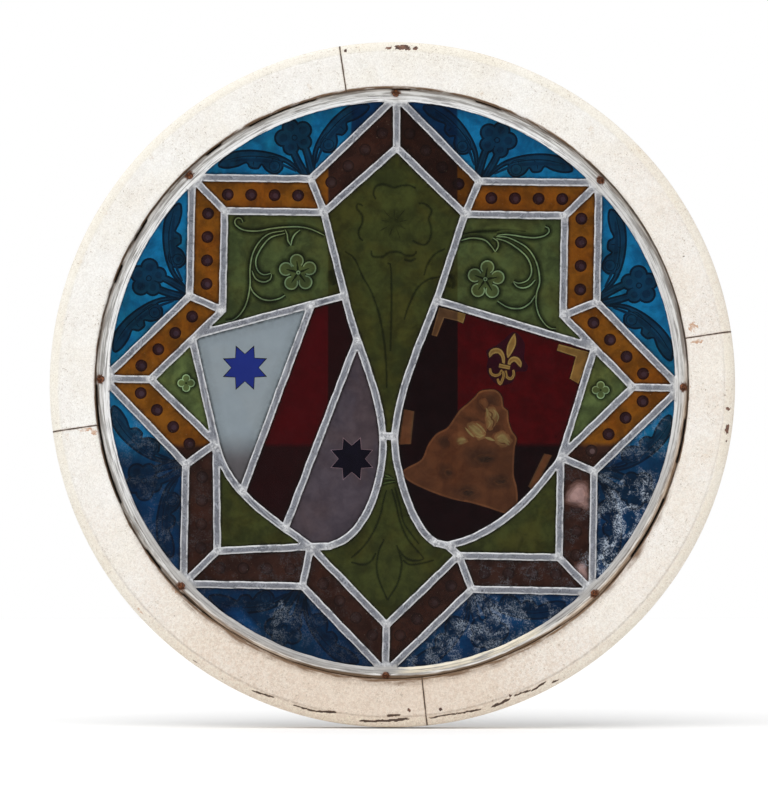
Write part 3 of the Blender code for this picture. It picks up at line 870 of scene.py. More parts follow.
def timber_profile():
    """Return the section as (radius, level) points, all the way round from the lip's back."""
    outer, rebate, face_edge = OUTER_RADIUS, REBATE_RADIUS, FACE_RADIUS
    lip = rebate - LIP_WIDTH
    profile = [(lip, -LIP_DEPTH + 1.0), (lip, -LIP_DEPTH / 2), (lip, -1.5), (lip + 1.5, 0)]
    profile += [(lip + 1.5 + (outer - lip - 3) * i / 10, 0) for i in range(1, 11)]
    profile += [(outer, -1.5)]
    profile += [(outer, -1.5 - (FRAME_DEPTH - ARRIS_DROP - 1.5) * i / 7) for i in range(1, 8)]
    for i in range(1, 17):
        turn = math.radians(90 * i / 16)
        level = -FRAME_DEPTH + 0.8 + (ARRIS_DROP - 0.8) * (1 - math.sin(turn))
        profile.append((outer - ARRIS_WIDTH * (1 - math.cos(turn)), level))
    profile += [(face_edge - 0.5, -FRAME_DEPTH + 0.9), (face_edge - 1.0, -FRAME_DEPTH + 0.35)]
    flat = (face_edge - rebate - 3.0) / 22
    profile += [(face_edge - 1.0 - flat * i, -FRAME_DEPTH + 0.35) for i in range(1, 23)]
    profile += [(rebate + 0.8, -FRAME_DEPTH + 0.7), (rebate, -FRAME_DEPTH + 2.2)]
    profile += [(rebate, -FRAME_DEPTH + 2.2 + (FRAME_DEPTH - LIP_DEPTH - 2.2) * i / 4) for i in range(1, 5)]
    profile += [(lip + LIP_WIDTH / 2, -LIP_DEPTH), (lip + 1.0, -LIP_DEPTH)]
    return profile


def bearing_span(node):
    """Return the bearings at which a segment starts and ends."""
    mesh = nodes[node].data
    places = [((v.co.x / MM), (v.co.z - MIDDLE_Z) / MM) for v in mesh.vertices]
    middle = bearing_of((sum(x for x, _ in places), sum(z for _, z in places)))
    turns = [turn_from(middle, bearing_of(p)) for p in places]
    return middle + min(turns), middle + max(turns)


def spotted(spots, bearing, radius):
    """Return how much of a ragged spot lies at a place on the front, from 0 to 1."""
    most = 0.0
    for at, out, along, across, depth in spots:
        turn = turn_from(at, bearing)
        if abs(turn) < 3 * along + 1:
            spot = (bearing * FACE_ARC, radius)
            torn = 0.4 * rough(spot, 2.6, at) + 0.35 * rough(spot, 1.2, at + 3)
            far = math.hypot(turn / along, (radius - out) / across) + torn
            most = max(most, depth * (1 - smooth(0.7, 1.15, far)))
    return most


def cracked(bearing, radius):
    """Return how deep the paint is split at a place on the front, from 0 to 1."""
    most = 0.0
    for start, end, first, last, width in CRACKS:
        if start < bearing < end:
            share = (bearing - start) / (end - start)
            line = first + (last - first) * share + 1.1 * rough((bearing * FACE_ARC, 0), 5, start)
            ragged = 0.75 + 0.6 * rough((bearing * FACE_ARC, 9), 4, start)
            half = width * min(1, 6 * share, 6 * (1 - share)) * ragged
            most = max(most, 1 - smooth(half * 0.5, half * 0.5 + 0.9, abs(radius - line)))
    return most


def drawn_in(bearing):
    """Return how far old paint brings the face's inner edge inwards, in millimetres."""
    return 2.2 * band_between(bearing, 232, 306, 16) + 0.9 * band_between(bearing, 50, 120, 20)


def timber_segment(node, material):
    """Make one segment with a softened section, a quirk below its rounded edge, dents and chips."""
    start, end = bearing_span(node)
    start, end = start - JOINT_FILL, end + JOINT_FILL
    profile = timber_profile()
    front = -FRAME_DEPTH + 3
    steps = round((end - start) / 0.25)
    bearings = [start, start + 0.06, start + 0.13]
    bearings += [start + (end - start) * i / steps for i in range(1, steps)]
    bearings += [end - 0.13, end - 0.06, end]
    shell = Shell()
    rows = []
    keys = ("bare", "split", "grime", "aged", "yellowed", "stain", "peach")
    values = {key: [] for key in keys}
    for bearing in bearings:
        from_joint = min(bearing - start, end - bearing)
        turn = bearing % 360
        row = []
        for radius, level in profile:
            if abs(radius - REBATE_RADIUS) < 0.9 and level < -LIP_DEPTH + 0.1:
                radius -= drawn_in(turn)
            spot = polar(radius, bearing)
            shows = level < front
            off = spotted(CHIPS, turn, radius) if shows else 0.0
            split = cracked(turn, radius) if shows else 0.0
            lump = 0.22 * rough(spot, 26, 2) + 0.12 * rough(spot, 7, 5) + 0.05 * rough(spot, 2.2, 8)
            wear = 0.4 + 0.5 * rough(spot, 7, 17)
            ends = 0.5 * wear * (1 - smooth(0.0, 0.14, from_joint)) if shows else 0.0
            depth = 0.9 * off + 0.8 * split + ends + 0.15 + abs(lump)
            row.append(in_frame(spot, level + (depth if shows else 0.0)))
            near_joint = (1 - smooth(0.0, 0.6, from_joint)) * (0.3 + 0.6 * rough(spot, 8, 11))
            values["bare"].append(off)
            open_joint = (0.5 + 0.5 * wear) * (1 - smooth(0.06, 0.18, from_joint))
            values["split"].append(max(split, open_joint))
            values["grime"].append(grimy_and_shaded(turn, radius, level) + max(near_joint, 0) * 0.5)
            values["aged"].append(age(turn) + 0.1 * rough(spot, 45, 21))
            outside = smooth(FACE_RADIUS - 1, FACE_RADIUS + 2, radius)
            values["yellowed"].append(0.3 * outside + 0.06 * (1 + rough(spot, 30, 14)))
            near_face = level < -LIP_DEPTH - 2 and radius > REBATE_RADIUS - 3
            values["stain"].append(stained(turn, radius, spot) if near_face else 0.0)
            values["peach"].append(spotted(PATCHES, turn, radius) if shows else 0.0)
        rows.append(row)
    shell.sweep(rows, **values)
    name = node.replace("timber_segment", "painted_segment")
    shell.piece(name, material, "painted_timber", node, sharp=50)


def grimy_and_shaded(bearing, radius, level):
    """Return how much dirt and painted shade the timber takes: along its inner edge below, in the quirk and
    in the rebate.
    """
    low = band_between(bearing, 212, 335, 30)
    inner = 1 - smooth(0.5, 4.0 + 5.0 * low, radius - REBATE_RADIUS)
    quirk = 1 - smooth(0.4, 1.6, abs(radius - (FACE_RADIUS - 0.6)))
    deep = smooth(-FRAME_DEPTH + 1.5, -FRAME_DEPTH + 5, level) * (radius < REBATE_RADIUS + 0.5)
    deep *= 1 - 0.7 * smooth(-LIP_DEPTH + 1.5, -LIP_DEPTH / 2, level)
    inner *= 1 - smooth(-LIP_DEPTH, -LIP_DEPTH / 2, level)
    return max(inner * (0.12 + 0.4 * low), quirk * (0.05 + 0.22 * low), deep * 0.5)


def age(bearing):
    """Return how much the paint has turned: most below, and some on the right."""
    low = band_between(bearing, 236, 296, 40)
    return 0.04 + 0.2 * band_between(bearing, 205, 405, 40) + 0.5 * low


def stained(bearing, radius, spot):
    """Return how far wood shows brown through the paint along the glazing edge."""
    low = band_between(bearing, 215, 350, 24)
    inset = radius - REBATE_RADIUS
    edge = 1 - smooth(0.1, 1.0 + 1.0 * low + 0.8 * rough(spot, 9, 51), inset)
    streaked = 0.3 * low * (1 - smooth(1, 12, inset)) * (1 + rough(spot, 26, 53))
    return max(0.7 * edge, streaked)


# Putty bead and nails

# Bearings where the putty has gone along the timber, from and to, in degrees
GAPS = (
    (67.8, 73.4), (86, 90), (104.5, 119), (125, 129), (146, 151), (156, 160), (180, 204), (214, 219),
    (225, 305), (323.8, 337.2), (344, 353))


def gone(bearing):
    """Return how far the putty has gone along the timber, from 0 to 1."""
    spot = (bearing * PUTTY_ARC, 0)
    most = 0.0
    for start, end in GAPS:
        begun = smooth(start - 0.3, start + 0.5, bearing)
        most = max(most, begun * (1 - smooth(end - 0.5, end + 0.3, bearing)))
    long_gap = smooth(222, 227, bearing) * (1 - smooth(303, 307, bearing))
    return most * (1 - 0.45 * long_gap * (0.5 + 0.5 * rough(spot, 9, 41)))


def putty_ring(material):
    """Make the bead of putty, with its splits and hollows, pressed back round the nails."""
    foot = PANEL_FRONT - 0.3
    outer = REBATE_RADIUS - 0.5
    steps = 1200
    shell = Shell()
    rows = []
    values = {key: [] for key in ("grime", "brown", "peach", "whitened", "rust")}
    for i in range(steps):
        bearing = 360 * i / steps
        spot = polar(REBATE_RADIUS, bearing)
        lost = gone(bearing)
        from_nail = min(abs(turn_from(at, bearing)) for at in NAIL_BEARINGS) * PUTTY_ARC
        height = 7.0 - 1.0 * lost + 0.5 * rough(spot, 12, 23) + 0.35 * rough(spot, 3.5, 27)
        height *= 1 - 0.6 * math.exp(-(from_nail / 4.6) ** 2)
        wide = 0.5 * rough(spot, 9, 25)
        section = [
            (0, 0), (0, height * (0.85 - 0.6 * lost)), (0.8, height * (0.95 - 0.6 * lost)),
            (1.7, height * (1 - 0.3 * lost)), (2.8, height * 0.9), (4.2, height * 0.62),
            (5.4 + wide, height * 0.36), (6.6 + wide, height * 0.18), (7.4 + wide, 0.6), (7.4 + wide, 0)]
        rows.append([in_frame(polar(outer - inset, bearing), foot - rise) for inset, rise in section])
        low = band_between(bearing, 252, 302, 10)
        warm = band_between(bearing, 226, 358, 20)
        clean = band_between(bearing, *CLEAN_ZONE)
        for inset, _ in section:
            # Dirt and painted shade in the hollows where the putty has gone and along the timber
            hollow = 0.9 * lost * (1 - smooth(1.3, 2.5, inset))
            values["grime"].append(max(hollow, 0.36 * (1 - smooth(0.3, 1.1, inset))))
            painted = smooth(3.2 - clean, 5.2 - clean, inset)
            values["whitened"].append(painted * (0.9 - 0.45 * warm + 0.3 * low))
            outside = 1 - smooth(2.4 + 2.2 * low, 4.6 + 1.6 * low, inset)
            values["brown"].append(outside * (0.22 + 0.16 * warm + 0.28 * low))
            values["peach"].append(min(0.15 + 0.75 * warm, 1) * (1 - 0.8 * smooth(4.5, 6.5, inset)))
            values["rust"].append(nail_stain(polar(outer - inset, bearing)))
    shell.sweep(rows, round_trip=True, **values)
    shell.piece("putty_bead", material, "putty", "putty_ring", sharp=60)


def glazing_nail(node, material):
    """Make one rusty nail over the border came: a hammered head and a pitted shank."""
    low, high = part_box(node)
    centre = (low + high) / 2
    bearing = bearing_of((centre.x, centre.z - MIDDLE_Z))
    out = polar(1, bearing)
    side = Vector((-out.y, out.x))
    head = NAIL_HEAD_RADIUS - 3.2
    level = centre.y / MM
    profile = [(-0.4, 0.2), (-0.3, 1.8), (0.2, 2.8), (1.0, 3.4), (2.2, 3.6), (3.3, 3.1), (4.0, 2.2)]
    profile += [(4.0 + 0.8 * i, 1.7) for i in range(1, 4)] + [(7.2, 1.2), (7.8, 0.3)]
    shell = Shell()
    sides = 20
    rows = []
    for distance, thickness in profile:
        row = []
        for i in range(sides):
            turn = math.tau * i / sides
            spot = (head + distance + bearing, turn * 3)
            thick = thickness * (0.94 + 0.2 * rough(spot, 1.3, bearing))
            place = out * (head + distance) + side * thick * math.cos(turn)
            row.append(in_frame(place, level + min(thick * math.sin(turn), 2.9)))
        rows.append(row)
    shell.sweep(rows)
    shell.piece(node.replace("glazing_nail", "rusty_nail"), material, "rusty_iron", node)


# Painted ornament, as layers of (tint, outline), each over the ones before

LINE_STEP = 2.5


def circle(centre, radius, sides=20):
    """Return a round outline."""
    return [Vector(centre) + polar(radius, 360 * i / sides) for i in range(sides)]


def bent(before, start, end, after):
    """Return points from start on towards end, on a smooth line through all four."""
    steps = max(2, round((end - start).length / LINE_STEP))
    line = []
    for k in range(steps):
        t = k / steps
        line.append(0.5 * (
            2 * start + (end - before) * t + (2 * before - 5 * start + 4 * end - after) * t * t
            + (3 * start - before - 3 * end + after) * t**3))
    return line


def flowing(points):
    """Return a smooth open line through points."""
    ends = [2 * points[0] - points[1]] + list(points) + [2 * points[-1] - points[-2]]
    line = []
    for i in range(1, len(ends) - 2):
        line += bent(*ends[i - 1:i + 3])
    return line + [points[-1]]


def brushed(points, width, taper=0.35):
    """Return the outline of a brush stroke along a line, thinner at its ends."""
    line = flowing(points)
    last = len(line) - 1
    left, right = [], []
    for i, point in enumerate(line):
        way = (line[min(i + 1, last)] - line[max(i - 1, 0)]).normalized()
        share = min(i, last - i) / max(last, 1) * 2
        half = width / 2 * (taper + (1 - taper) * math.sqrt(share))
        side = Vector((-way.y, way.x)) * half
        left.append(point + side)
        right.append(point - side)
    return left + right[::-1]


def swollen(loop, distance):
    """Return a closed outline moved outwards a little."""
    return shifted(loop, -distance if area(loop) > 0 else distance)


def closed_flow(points):
    """Return a smooth closed outline through points."""
    count = len(points)
    wrapped = [points[i % count] for i in range(-1, count + 2)]
    line = []
    for i in range(1, count + 1):
        line += bent(*wrapped[i - 1:i + 3])
    return line


def vectors(*pairs):
    """Return (x, z) pairs as points."""
    return [Vector(pair) for pair in pairs]


def placed(layers, origin, turn, mirror=False):
    """Put layers drawn about (0, 0), with +Z up, at an origin and a bearing for their +Z."""
    up = polar(1, turn)
    right = Vector((up.y, -up.x)) * (-1 if mirror else 1)
    moved = []
    for tint, outline in layers:
        moved.append((tint, [Vector(origin) + right * p.x + up * p.y for p in outline]))
    return moved


def leaf_spray():
    """Return the blue panes' motif: a lobed flower on two stems, and a lobed leaf each side."""
    leaf = closed_flow(vectors(
        (-3, 2), (-9, 17), (-17, 31), (-33, 45), (-54, 56), (-74, 60), (-90, 53), (-84, 47), (-71, 44),
        (-60, 44), (-58, 37), (-50, 33), (-45, 36), (-42, 27), (-34, 20), (-25, 23), (-22, 30), (-15, 22),
        (-8, 10), (0, 0)))
    flower = [circle(Vector((0, 50)) + polar(out, 90 + turn), size) for turn, out, size in (
        (0, 12.0, 9.0), (70, 12.5, 9.2), (-70, 12.5, 9.2), (138, 11.5, 8.4), (-138, 11.5, 8.4))]
    stem = brushed(vectors((-7, 40), (-6.4, 25), (-3, 3)), 7.0, 0.9)
    lines, fills = [], []
    for side in (1, -1):
        for shape in (leaf, stem):
            mirrored = [Vector((p.x * side, p.y)) for p in shape]
            lines.append(("leaf_line", swollen(mirrored, 1.2)))
            fills.append(("leaf", swollen(mirrored, -1.2)))
        for vein in (((-16, 24), (-32, 38), (-56, 50), (-80, 55)), ((-30, 38), (-36, 31), (-36, 25)),
                     ((-46, 46), (-52, 42), (-54, 38)), ((-24, 31), (-27, 37), (-36, 42))):
            fills.append(("leaf_line", brushed([Vector((side * x, z)) for x, z in vein], 1.3)))
        shade = [Vector((side * x, z)) for x, z in ((-12, 14), (-24, 27), (-40, 38), (-60, 47), (-76, 52))]
        fills.append(("leaf_deep", brushed(shade, 4.2)))
        curl = circle((side * -32.5, 28.5), 5.4)
        fills += [("leaf_line", swollen(curl, 0.9)), ("leaf", curl)]
        fills.append(("leaf_deep", circle((side * -32.5, 28), 2.6)))
        fills.append(("leaf_deep", brushed([Vector((side * x, z)) for x, z in ((-6, 34), (-4.5, 8))], 2.0)))
    lines += [("leaf_line", swollen(lobe, 1.3)) for lobe in flower]
    fills += [("leaf", swollen(lobe, -1.1)) for lobe in flower]
    fills += [("leaf_deep", swollen(lobe, -4.6)) for lobe in flower]
    eye = (("leaf", 7.0), ("leaf_line", 3.4), ("leaf", 2.2))
    return lines + fills + [(tint, circle((0, 50), size)) for tint, size in eye]


def fading(shape, from_tint, to_tint, sizes):
    """Return a shape at falling sizes, whose tint goes from one to the other."""
    return [((from_tint, to_tint, (i + 1) / len(sizes)), shape(size)) for i, size in enumerate(sizes)]


def layered(groups):
    """Return groups of layers as one list, laid down step by step across all the groups."""
    return [group[i] for i in range(len(groups[0])) for group in groups]


def darkened(shape, sizes):
    """Return a shape at falling sizes that darkens from the green of its pane."""
    return fading(shape, "green", "green_dark", sizes)


def shaded_lines(lines, light=1.5, core=4.2, halo=11.5):
    """Return light lines, each in a dark ground that fades out."""
    sizes = [halo + (core - halo) * share for share in (0, 0.3, 0.55, 0.78, 1)]
    grounds = [darkened(lambda size: brushed(line, size, 0.75), sizes) for line in lines]
    return layered(grounds) + [("green_light", brushed(line, light, 0.5)) for line in lines]


def open_petals(centre, middles, petal, light=1.4):
    """Return a flower whose petals are open rings of light line on a dark ground."""
    grow = (5.4, 4.3, 3.3, 2.4, 1.6)
    layers = layered([darkened(lambda size: circle(middle, petal + size), grow) for middle in middles])
    layers += [("green_light", circle(middle, petal + 0.3)) for middle in middles]
    layers += [("green", circle(middle, petal - light + 0.3)) for middle in middles]
    for middle in middles:
        inward = Vector(centre).lerp(middle, 0.45)
        layers.append(("green", circle(inward, petal * 0.62)))
    for middle in middles:
        for share, width in ((0.98, 1.8), (0.7, 2.6)):
            vein = [Vector(centre), Vector(centre).lerp(middle, share)]
            layers.append(("green_dark", brushed(vein, width)))
    layers += [("green_dark", circle(centre, 3.0)), ("green_light", circle(centre, 2.3))]
    return layers + [("green_dark", circle(centre, 1.0))]


def left_scroll():
    """Return the tendrils and flower of the upper left green pane."""
    lines = [
        vectors((-165, 180), (-167, 184), (-171, 185), (-174, 182), (-173, 177), (-164, 171.5),
                (-149, 170.3), (-133, 173), (-118, 174.6), (-101, 174.6), (-88, 171.6), (-74, 165)),
        vectors((-119, 170.5), (-135, 167.5), (-146, 159), (-154, 145), (-157, 128), (-157, 110), (-160, 93),
                (-166, 80), (-175, 71.5), (-184, 69.5)),
        vectors((-118, 167.5), (-133, 163.5), (-142, 155), (-149.5, 142), (-150.5, 132), (-147, 124.5),
                (-141, 121.5), (-134, 123)),
        vectors((-155, 126), (-151.5, 118), (-146, 114.2), (-139.5, 113.6), (-134, 117), (-133, 122)),
        vectors((-157.5, 110.5), (-153.5, 102), (-145, 95), (-134.6, 92.8), (-124, 95), (-118, 98.5)),
        vectors((-118, 171.5), (-115.5, 166), (-115, 160), (-111.5, 154)),
        vectors((-101.5, 171), (-107, 166.5), (-110, 161), (-111.5, 154))]
    petals = vectors((-104.9, 136.8), (-90.8, 128.4), (-95.2, 112.9), (-111, 112.2), (-117, 127.7))
    blade = faint_lines([vectors((-67, 126), (-65.5, 118), (-62.5, 110))], 3.0)
    return blade + shaded_lines(lines) + open_petals((-103.2, 123.7), petals, 7.4)


def right_scroll():
    """Return the tendrils and flower of the upper right green pane."""
    lines = [
        vectors((171, 173.5), (174.5, 172), (175.4, 168), (171, 163.7), (161, 161.3), (149, 162), (137, 164),
                (127, 165), (118, 164)),
        vectors((77, 158.3), (86.7, 161), (96, 161), (104.7, 158.6), (111, 152.5), (115.5, 146)),
        vectors((113, 161.3), (118, 158), (119.3, 152.5), (116, 146)),
        vectors((117, 162.8), (129, 161.8), (142, 156), (152, 149), (159.5, 138), (163.5, 126),
                (164.8, 111.5), (161.5, 99.5), (161, 87.4), (164, 75.4), (170, 66), (176, 61), (183, 59.8)),
        vectors((117, 160.5), (127.5, 157.5), (139, 150.5), (149.8, 141), (155, 131), (155.8, 122),
                (152.5, 115), (146.7, 111.6), (140.7, 110.8), (135.9, 112.8)),
        vectors((135.9, 112.2), (139.5, 107.3), (146.7, 105.5), (154, 108), (160, 114.5)),
        vectors((160, 97), (154, 88.6), (145.5, 83.3), (136, 82.7), (127.5, 85), (118, 91))]
    petals = vectors((107, 128.7), (118.3, 117.4), (112.3, 102.2), (96.7, 103.3), (93, 119.8))
    blade = faint_lines([vectors((65, 121), (69, 113), (68, 105)), vectors((62, 112), (66, 107))], 2.2)
    blade += faint_lines([vectors((76, 164), (95, 168), (120, 169), (150, 167))], 1.6)
    return blade + shaded_lines(lines) + open_petals((104.7, 115.4), petals, 7.4)


def four_petals(centre, radius, petal):
    """Return a four-petalled flower in the same manner."""
    middles = [Vector(centre) + polar(radius, 90 * k) for k in range(4)]
    grow = (3.8, 2.8, 2.0, 1.3)
    layers = layered([darkened(lambda size: circle(middle, petal + size), grow) for middle in middles])
    layers += [("green_light", circle(middle, petal + 0.2)) for middle in middles]
    layers += [("green", circle(middle, petal - 1.0)) for middle in middles]
    return layers + [("green", circle(centre, petal * 0.8)), ("green_dark", circle(centre, 1.2))]


def faint_lines(lines, width):
    """Return soft dark lines."""
    sizes = [width * share for share in (4.2, 3.0, 2.0, 1.2)]
    return layered([darkened(lambda size: brushed(line, size, 0.6), sizes) for line in lines])


def rose():
    """Return the faint open rose, its stem and its leaves, in the upper middle green pane."""
    petals = [
        vectors((-17, 205), (-19.5, 212), (-16.6, 219.5), (-9, 222), (-1, 219.5), (4.5, 218), (9, 219.5),
                (20, 220.5), (27.5, 217)),
        vectors((-31, 198), (-37, 200), (-38, 195), (-32.5, 188), (-32, 179), (-36, 170), (-35, 162.5),
                (-31, 159)),
        vectors((31, 200), (37, 200), (44, 194.5), (45, 190), (42, 182.8), (44.4, 173.6), (44, 162.6),
                (38.5, 154.3), (31, 155.2), (24, 159)),
        vectors((-22, 148), (-20.3, 141.4), (-9.3, 141), (-2, 145.7), (9, 146), (16.4, 142.3),
                (25.6, 142.7), (28.4, 147)),
        vectors((14.6, 137.8), (22, 136), (27.5, 138.7))]
    leaves = [
        vectors((-3.8, 134), (0, 127.6), (0.5, 81.7), (-0.7, 36)),
        vectors((-51, 147), (-40.5, 138.7), (-31.3, 118.5), (-22, 102), (-13, 76), (-7.4, 45),
                (-5.2, 17.4), (-4.7, -5)),
        vectors((60.5, 149.7), (49.5, 144), (41, 133), (36.7, 120)),
        vectors((57, 118.5), (42, 115.7), (29.3, 105.6), (20, 87), (14.6, 70.7))]
    layers = fading(lambda size: circle((3.6, 179), size), "green", "green_shade", (11, 9, 7, 5))
    for k in range(9):
        ray = [Vector((3.6, 179)) + polar(out, 40 * k + 10) for out in (5.0, 15.0 + 4 * (k % 2))]
        layers.append(("green_shade", brushed(ray, 1.3)))
    return layers + faint_lines(petals, 1.1) + faint_lines(leaves, 1.0)


def pointed_leaves():
    """Return the tie and the faint leaves in the lower middle green pane."""
    lines = [
        vectors((-7.7, -172.7), (-13.4, -185.4), (-15.9, -202), (-13.4, -217), (-4, -240)),
        vectors((-4, -240), (7, -222), (11.4, -204.5), (10.8, -193), (6.3, -179)),
        vectors((-5, -118), (-8.3, -129.5), (-11.5, -144.7), (-17.8, -161), (-26, -175), (-35, -185.4),
                (-44, -193)),
        vectors((0.6, -116.7), (5.7, -134.6), (9.5, -151), (15.9, -167.6), (23.5, -179), (33.7, -190.5),
                (36.2, -194.3)),
        vectors((36.2, -194.3), (31, -196.2), (21, -195.6), (13.3, -190.5), (8.2, -184)),
        vectors((4.4, -115.5), (9.5, -134.6), (13.3, -152.4), (21, -165), (31, -178)),
        vectors((-16.6, -188), (-22.3, -197), (-31, -200.7), (-44, -198)),
        vectors((13.3, -195.6), (21, -200.7), (36, -198.8), (47.7, -195.6))]
    tie = [vectors((-12.5, -112.5), (-4.5, -110), (5, -108.5)), vectors((-8, -101), (0.8, -104.7)),
           vectors((-10, -106), (-3, -105.5), (3, -106))]
    return faint_lines(lines, 1.0) + shaded_lines(tie, 1.4, 3.2, 6.5)


def edged(outline, fill, light, line):
    """Return a painted shape with a lighter edge and a dark outline."""
    return [(line, swollen(outline, 1.1)), (light, outline), (fill, swollen(outline, -1.5))]


def shield_charges():
    """Return the right shield's corner pieces, bars, lily and worn brown figure."""
    layers = []
    for corner in (
            vectors((53.5, 84.5), (83, 77), (80, 66.5), (74, 69), (59, 72.5), (51, 52), (45, 53.5)),
            vectors((186, 43), (221, 33.4), (207.5, -1), (198, 4.8), (204.7, 29), (183.8, 35.9))):
        layers += edged(corner, "gold", "gold_light", "gold_line")
    for bar in (
            vectors((14, -28.6), (25.8, -31), (22, -67.3), (8, -68.2)),
            vectors((169.5, -78.2), (178, -80), (158, -119.7), (151.7, -114.4))):
        layers += edged(bar, "earth_edge", "gold", "gold_line")
    ground = closed_flow(vectors(
        (124.6, 47.7), (137, 57), (148, 44), (147.5, 26.7), (151.7, 19), (149.4, 13), (138.4, 12),
        (135.5, 2), (127, -2), (119, -2), (111, 4.5), (106, 15), (107.5, 26.7), (106, 36), (117, 42)))
    layers.append(("plum", ground))
    petals = [
        vectors((137.4, 55.5), (131.5, 48.5), (128, 40), (127.5, 32), (129.4, 27), (134.5, 33), (139.2, 44)),
        vectors((109.4, 27.5), (107.6, 32.5), (111, 38), (118, 39.6), (124, 36.2), (126.8, 29), (126.5, 21),
                (123, 22), (121.6, 28.5), (118.5, 32.3), (113.5, 31.5)),
        vectors((144, 16.5), (145.6, 22), (142, 28.3), (135.7, 30), (130, 26.6), (128.6, 19), (131.8, 18.4),
                (133.8, 21.6), (137, 23.2), (140, 19.8))]
    for petal in petals:
        layers += edged(swollen(closed_flow(petal), -0.7), "gold", "gold_light", "gold_line")
    for curl in (vectors((109.8, 16.5), (110.7, 11), (115, 8.4), (120.4, 9.8), (122.9, 14.8)),
                 vectors((127, 13.8), (128.4, 6.7), (133, 4.7), (136, 9), (135.3, 14.6)),
                 vectors((123.8, 13), (124.8, 8), (121, -1), (118, 4.8))):
        layers += [("gold_line", brushed(curl, 5.2, 0.8)), ("gold_light", brushed(curl, 3.0, 0.7)),
                   ("gold", brushed(curl, 1.4, 0.7))]
    tie = vectors((120, 21.6), (132.2, 19), (131.4, 15), (119.4, 17.4))
    layers += edged(tie, "gold", "gold_light", "gold_line")
    figure = closed_flow(vectors(
        (93, -15), (99.8, -8.5), (115, -7.6), (122.7, -15), (124.6, -26.7), (129.4, -30.5), (130.4, -42),
        (134, -53.4), (139, -61), (137, -72.4), (136, -87.7), (136, -103), (139, -114.4), (140, -125.8),
        (139, -137.7), (130.4, -145), (107.5, -138), (88.4, -132.5), (69.3, -128.7), (46.4, -121),
        (23.5, -110.6), (14.4, -103), (13, -97), (19.7, -92.5), (34, -84), (40.7, -68.6), (50, -56.3),
        (62, -49.5), (69, -40), (76, -30), (85, -22.5)))
    layers += [("gold_line", swollen(figure, 1.0)), ("earth_edge", figure), ("earth", swollen(figure, -2.0))]
    patches = (
        ("earth_shade", (94, -16), (101, -11), (114, -10.5), (120.5, -17), (121.5, -25), (111, -24.4),
         (105, -34), (96, -30.5), (92, -23)),
        ("earth_shade", (76, -36), (84, -42), (96, -60), (112, -60), (128, -56), (124, -46), (110, -50),
         (95, -38)),
        ("earth_shade", (50, -62), (62, -56), (70, -66), (58, -74)),
        ("earth_shade", (80, -74), (96, -70), (120, -74), (112, -92), (88, -92)),
        ("earth_shade", (50, -90), (66, -88), (72, -104), (56, -110)),
        ("earth_shade", (104, -104), (130, -100), (134, -116), (110, -118)),
        ("earth_shade", (66, -118), (90, -112), (102, -126), (80, -130)),
        ("earth_edge", (64, -60), (74, -52), (84, -58), (80, -70), (68, -72)),
        ("earth_edge", (98, -20), (104, -16), (108, -24), (102, -30)),
        ("earth_edge", (84, -44), (96, -42), (106, -47), (103, -57), (94, -60), (87, -53)),
        ("earth_edge", (112, -58), (124, -52), (133, -62), (126, -70), (116, -67)),
        ("earth_dark", (91, -83), (101.7, -79), (117, -81), (115, -86.7), (100, -89.6)),
        ("earth_dark", (58.8, -97), (65.5, -95), (68.4, -101), (61.7, -104)),
        ("earth_dark", (113, -108.7), (124.6, -105.8), (130.4, -109.6), (119, -112.5)),
        ("earth_dark", (75, -122), (84.6, -117.3), (96, -121), (84.6, -125.8)))
    for tint, *points in patches:
        blot = closed_flow(vectors(*points))
        layers += soft_blot(blot, "earth", tint, (1.0, 0.88, 0.75, 0.62, 0.48))
    strokes = (
        ((86, -47), (92, -52), (97, -57), (103, -58)), ((90, -46), (97, -51), (101, -56)),
        ((93, -58), (98, -60), (104, -57)), ((108, -31), (112, -34), (111, -41)),
        ((113, -29), (116, -33), (114, -39)), ((107, -41), (110, -45), (107, -50)),
        ((117, -61), (123, -58), (127, -62), (132, -66)), ((120, -66), (126, -67), (130, -65)),
        ((122, -57), (125, -61), (124, -66)), ((73, -65), (78, -62), (83, -63)), ((75, -67), (80, -66)),
        ((97, -22), (101, -25), (103, -30)), ((104, -60), (110, -62), (115, -64)),
        ((105, -27), (107, -32), (106, -38)), ((116, -31), (119, -37), (117, -44)),
        ((109, -36), (114, -43), (112, -50)), ((82, -49), (87, -55), (92, -60)),
        ((94, -44), (100, -49), (105, -55)), ((118, -64), (124, -63), (131, -69)))
    glows = (
        ((84, -45), (93, -44), (104, -52), (104, -62), (94, -61), (86, -53)),
        ((106, -28), (114, -26), (119, -36), (112, -52), (105, -46)),
        ((114, -58), (124, -53), (134, -63), (128, -71), (117, -68)),
        ((71, -61), (80, -59), (85, -65), (75, -69)))
    glow = ("earth_edge", "earth_light", 0.75)
    for points in glows:
        layers += soft_blot(closed_flow(vectors(*points)), "earth_edge", glow, (1.0, 0.86, 0.72, 0.56, 0.4))
    for i, points in enumerate(strokes):
        line = vectors(*points)
        if i % 4 == 3:
            layers.append((("earth_edge", "earth_shade", 0.6), brushed(line, 1.8, 0.2)))
        else:
            layers.append((("earth_edge", "earth_light", 0.85), brushed(line, 3.6 - 0.9 * (i % 3), 0.1)))
            layers.append(("earth_light", brushed(line, 1.6 - 0.3 * (i % 3), 0.1)))
    return layers


def soft_blot(blot, ground, tint, sizes):
    """Return a blot with a torn outline that fades into its ground."""
    middle = centroid(blot)

    def torn(size):
        points = [middle + (p - middle) * size for p in blot]
        return [p + Vector((rough(p, 4, size * 9), rough(p, 4, size * 9 + 5))) * 2.2 for p in points]

    return fading(torn, ground, tint, sizes)


LITTLE_STAR_RADIUS = 24.5
LITTLE_STAR_WAIST = 0.6 * LITTLE_STAR_RADIUS


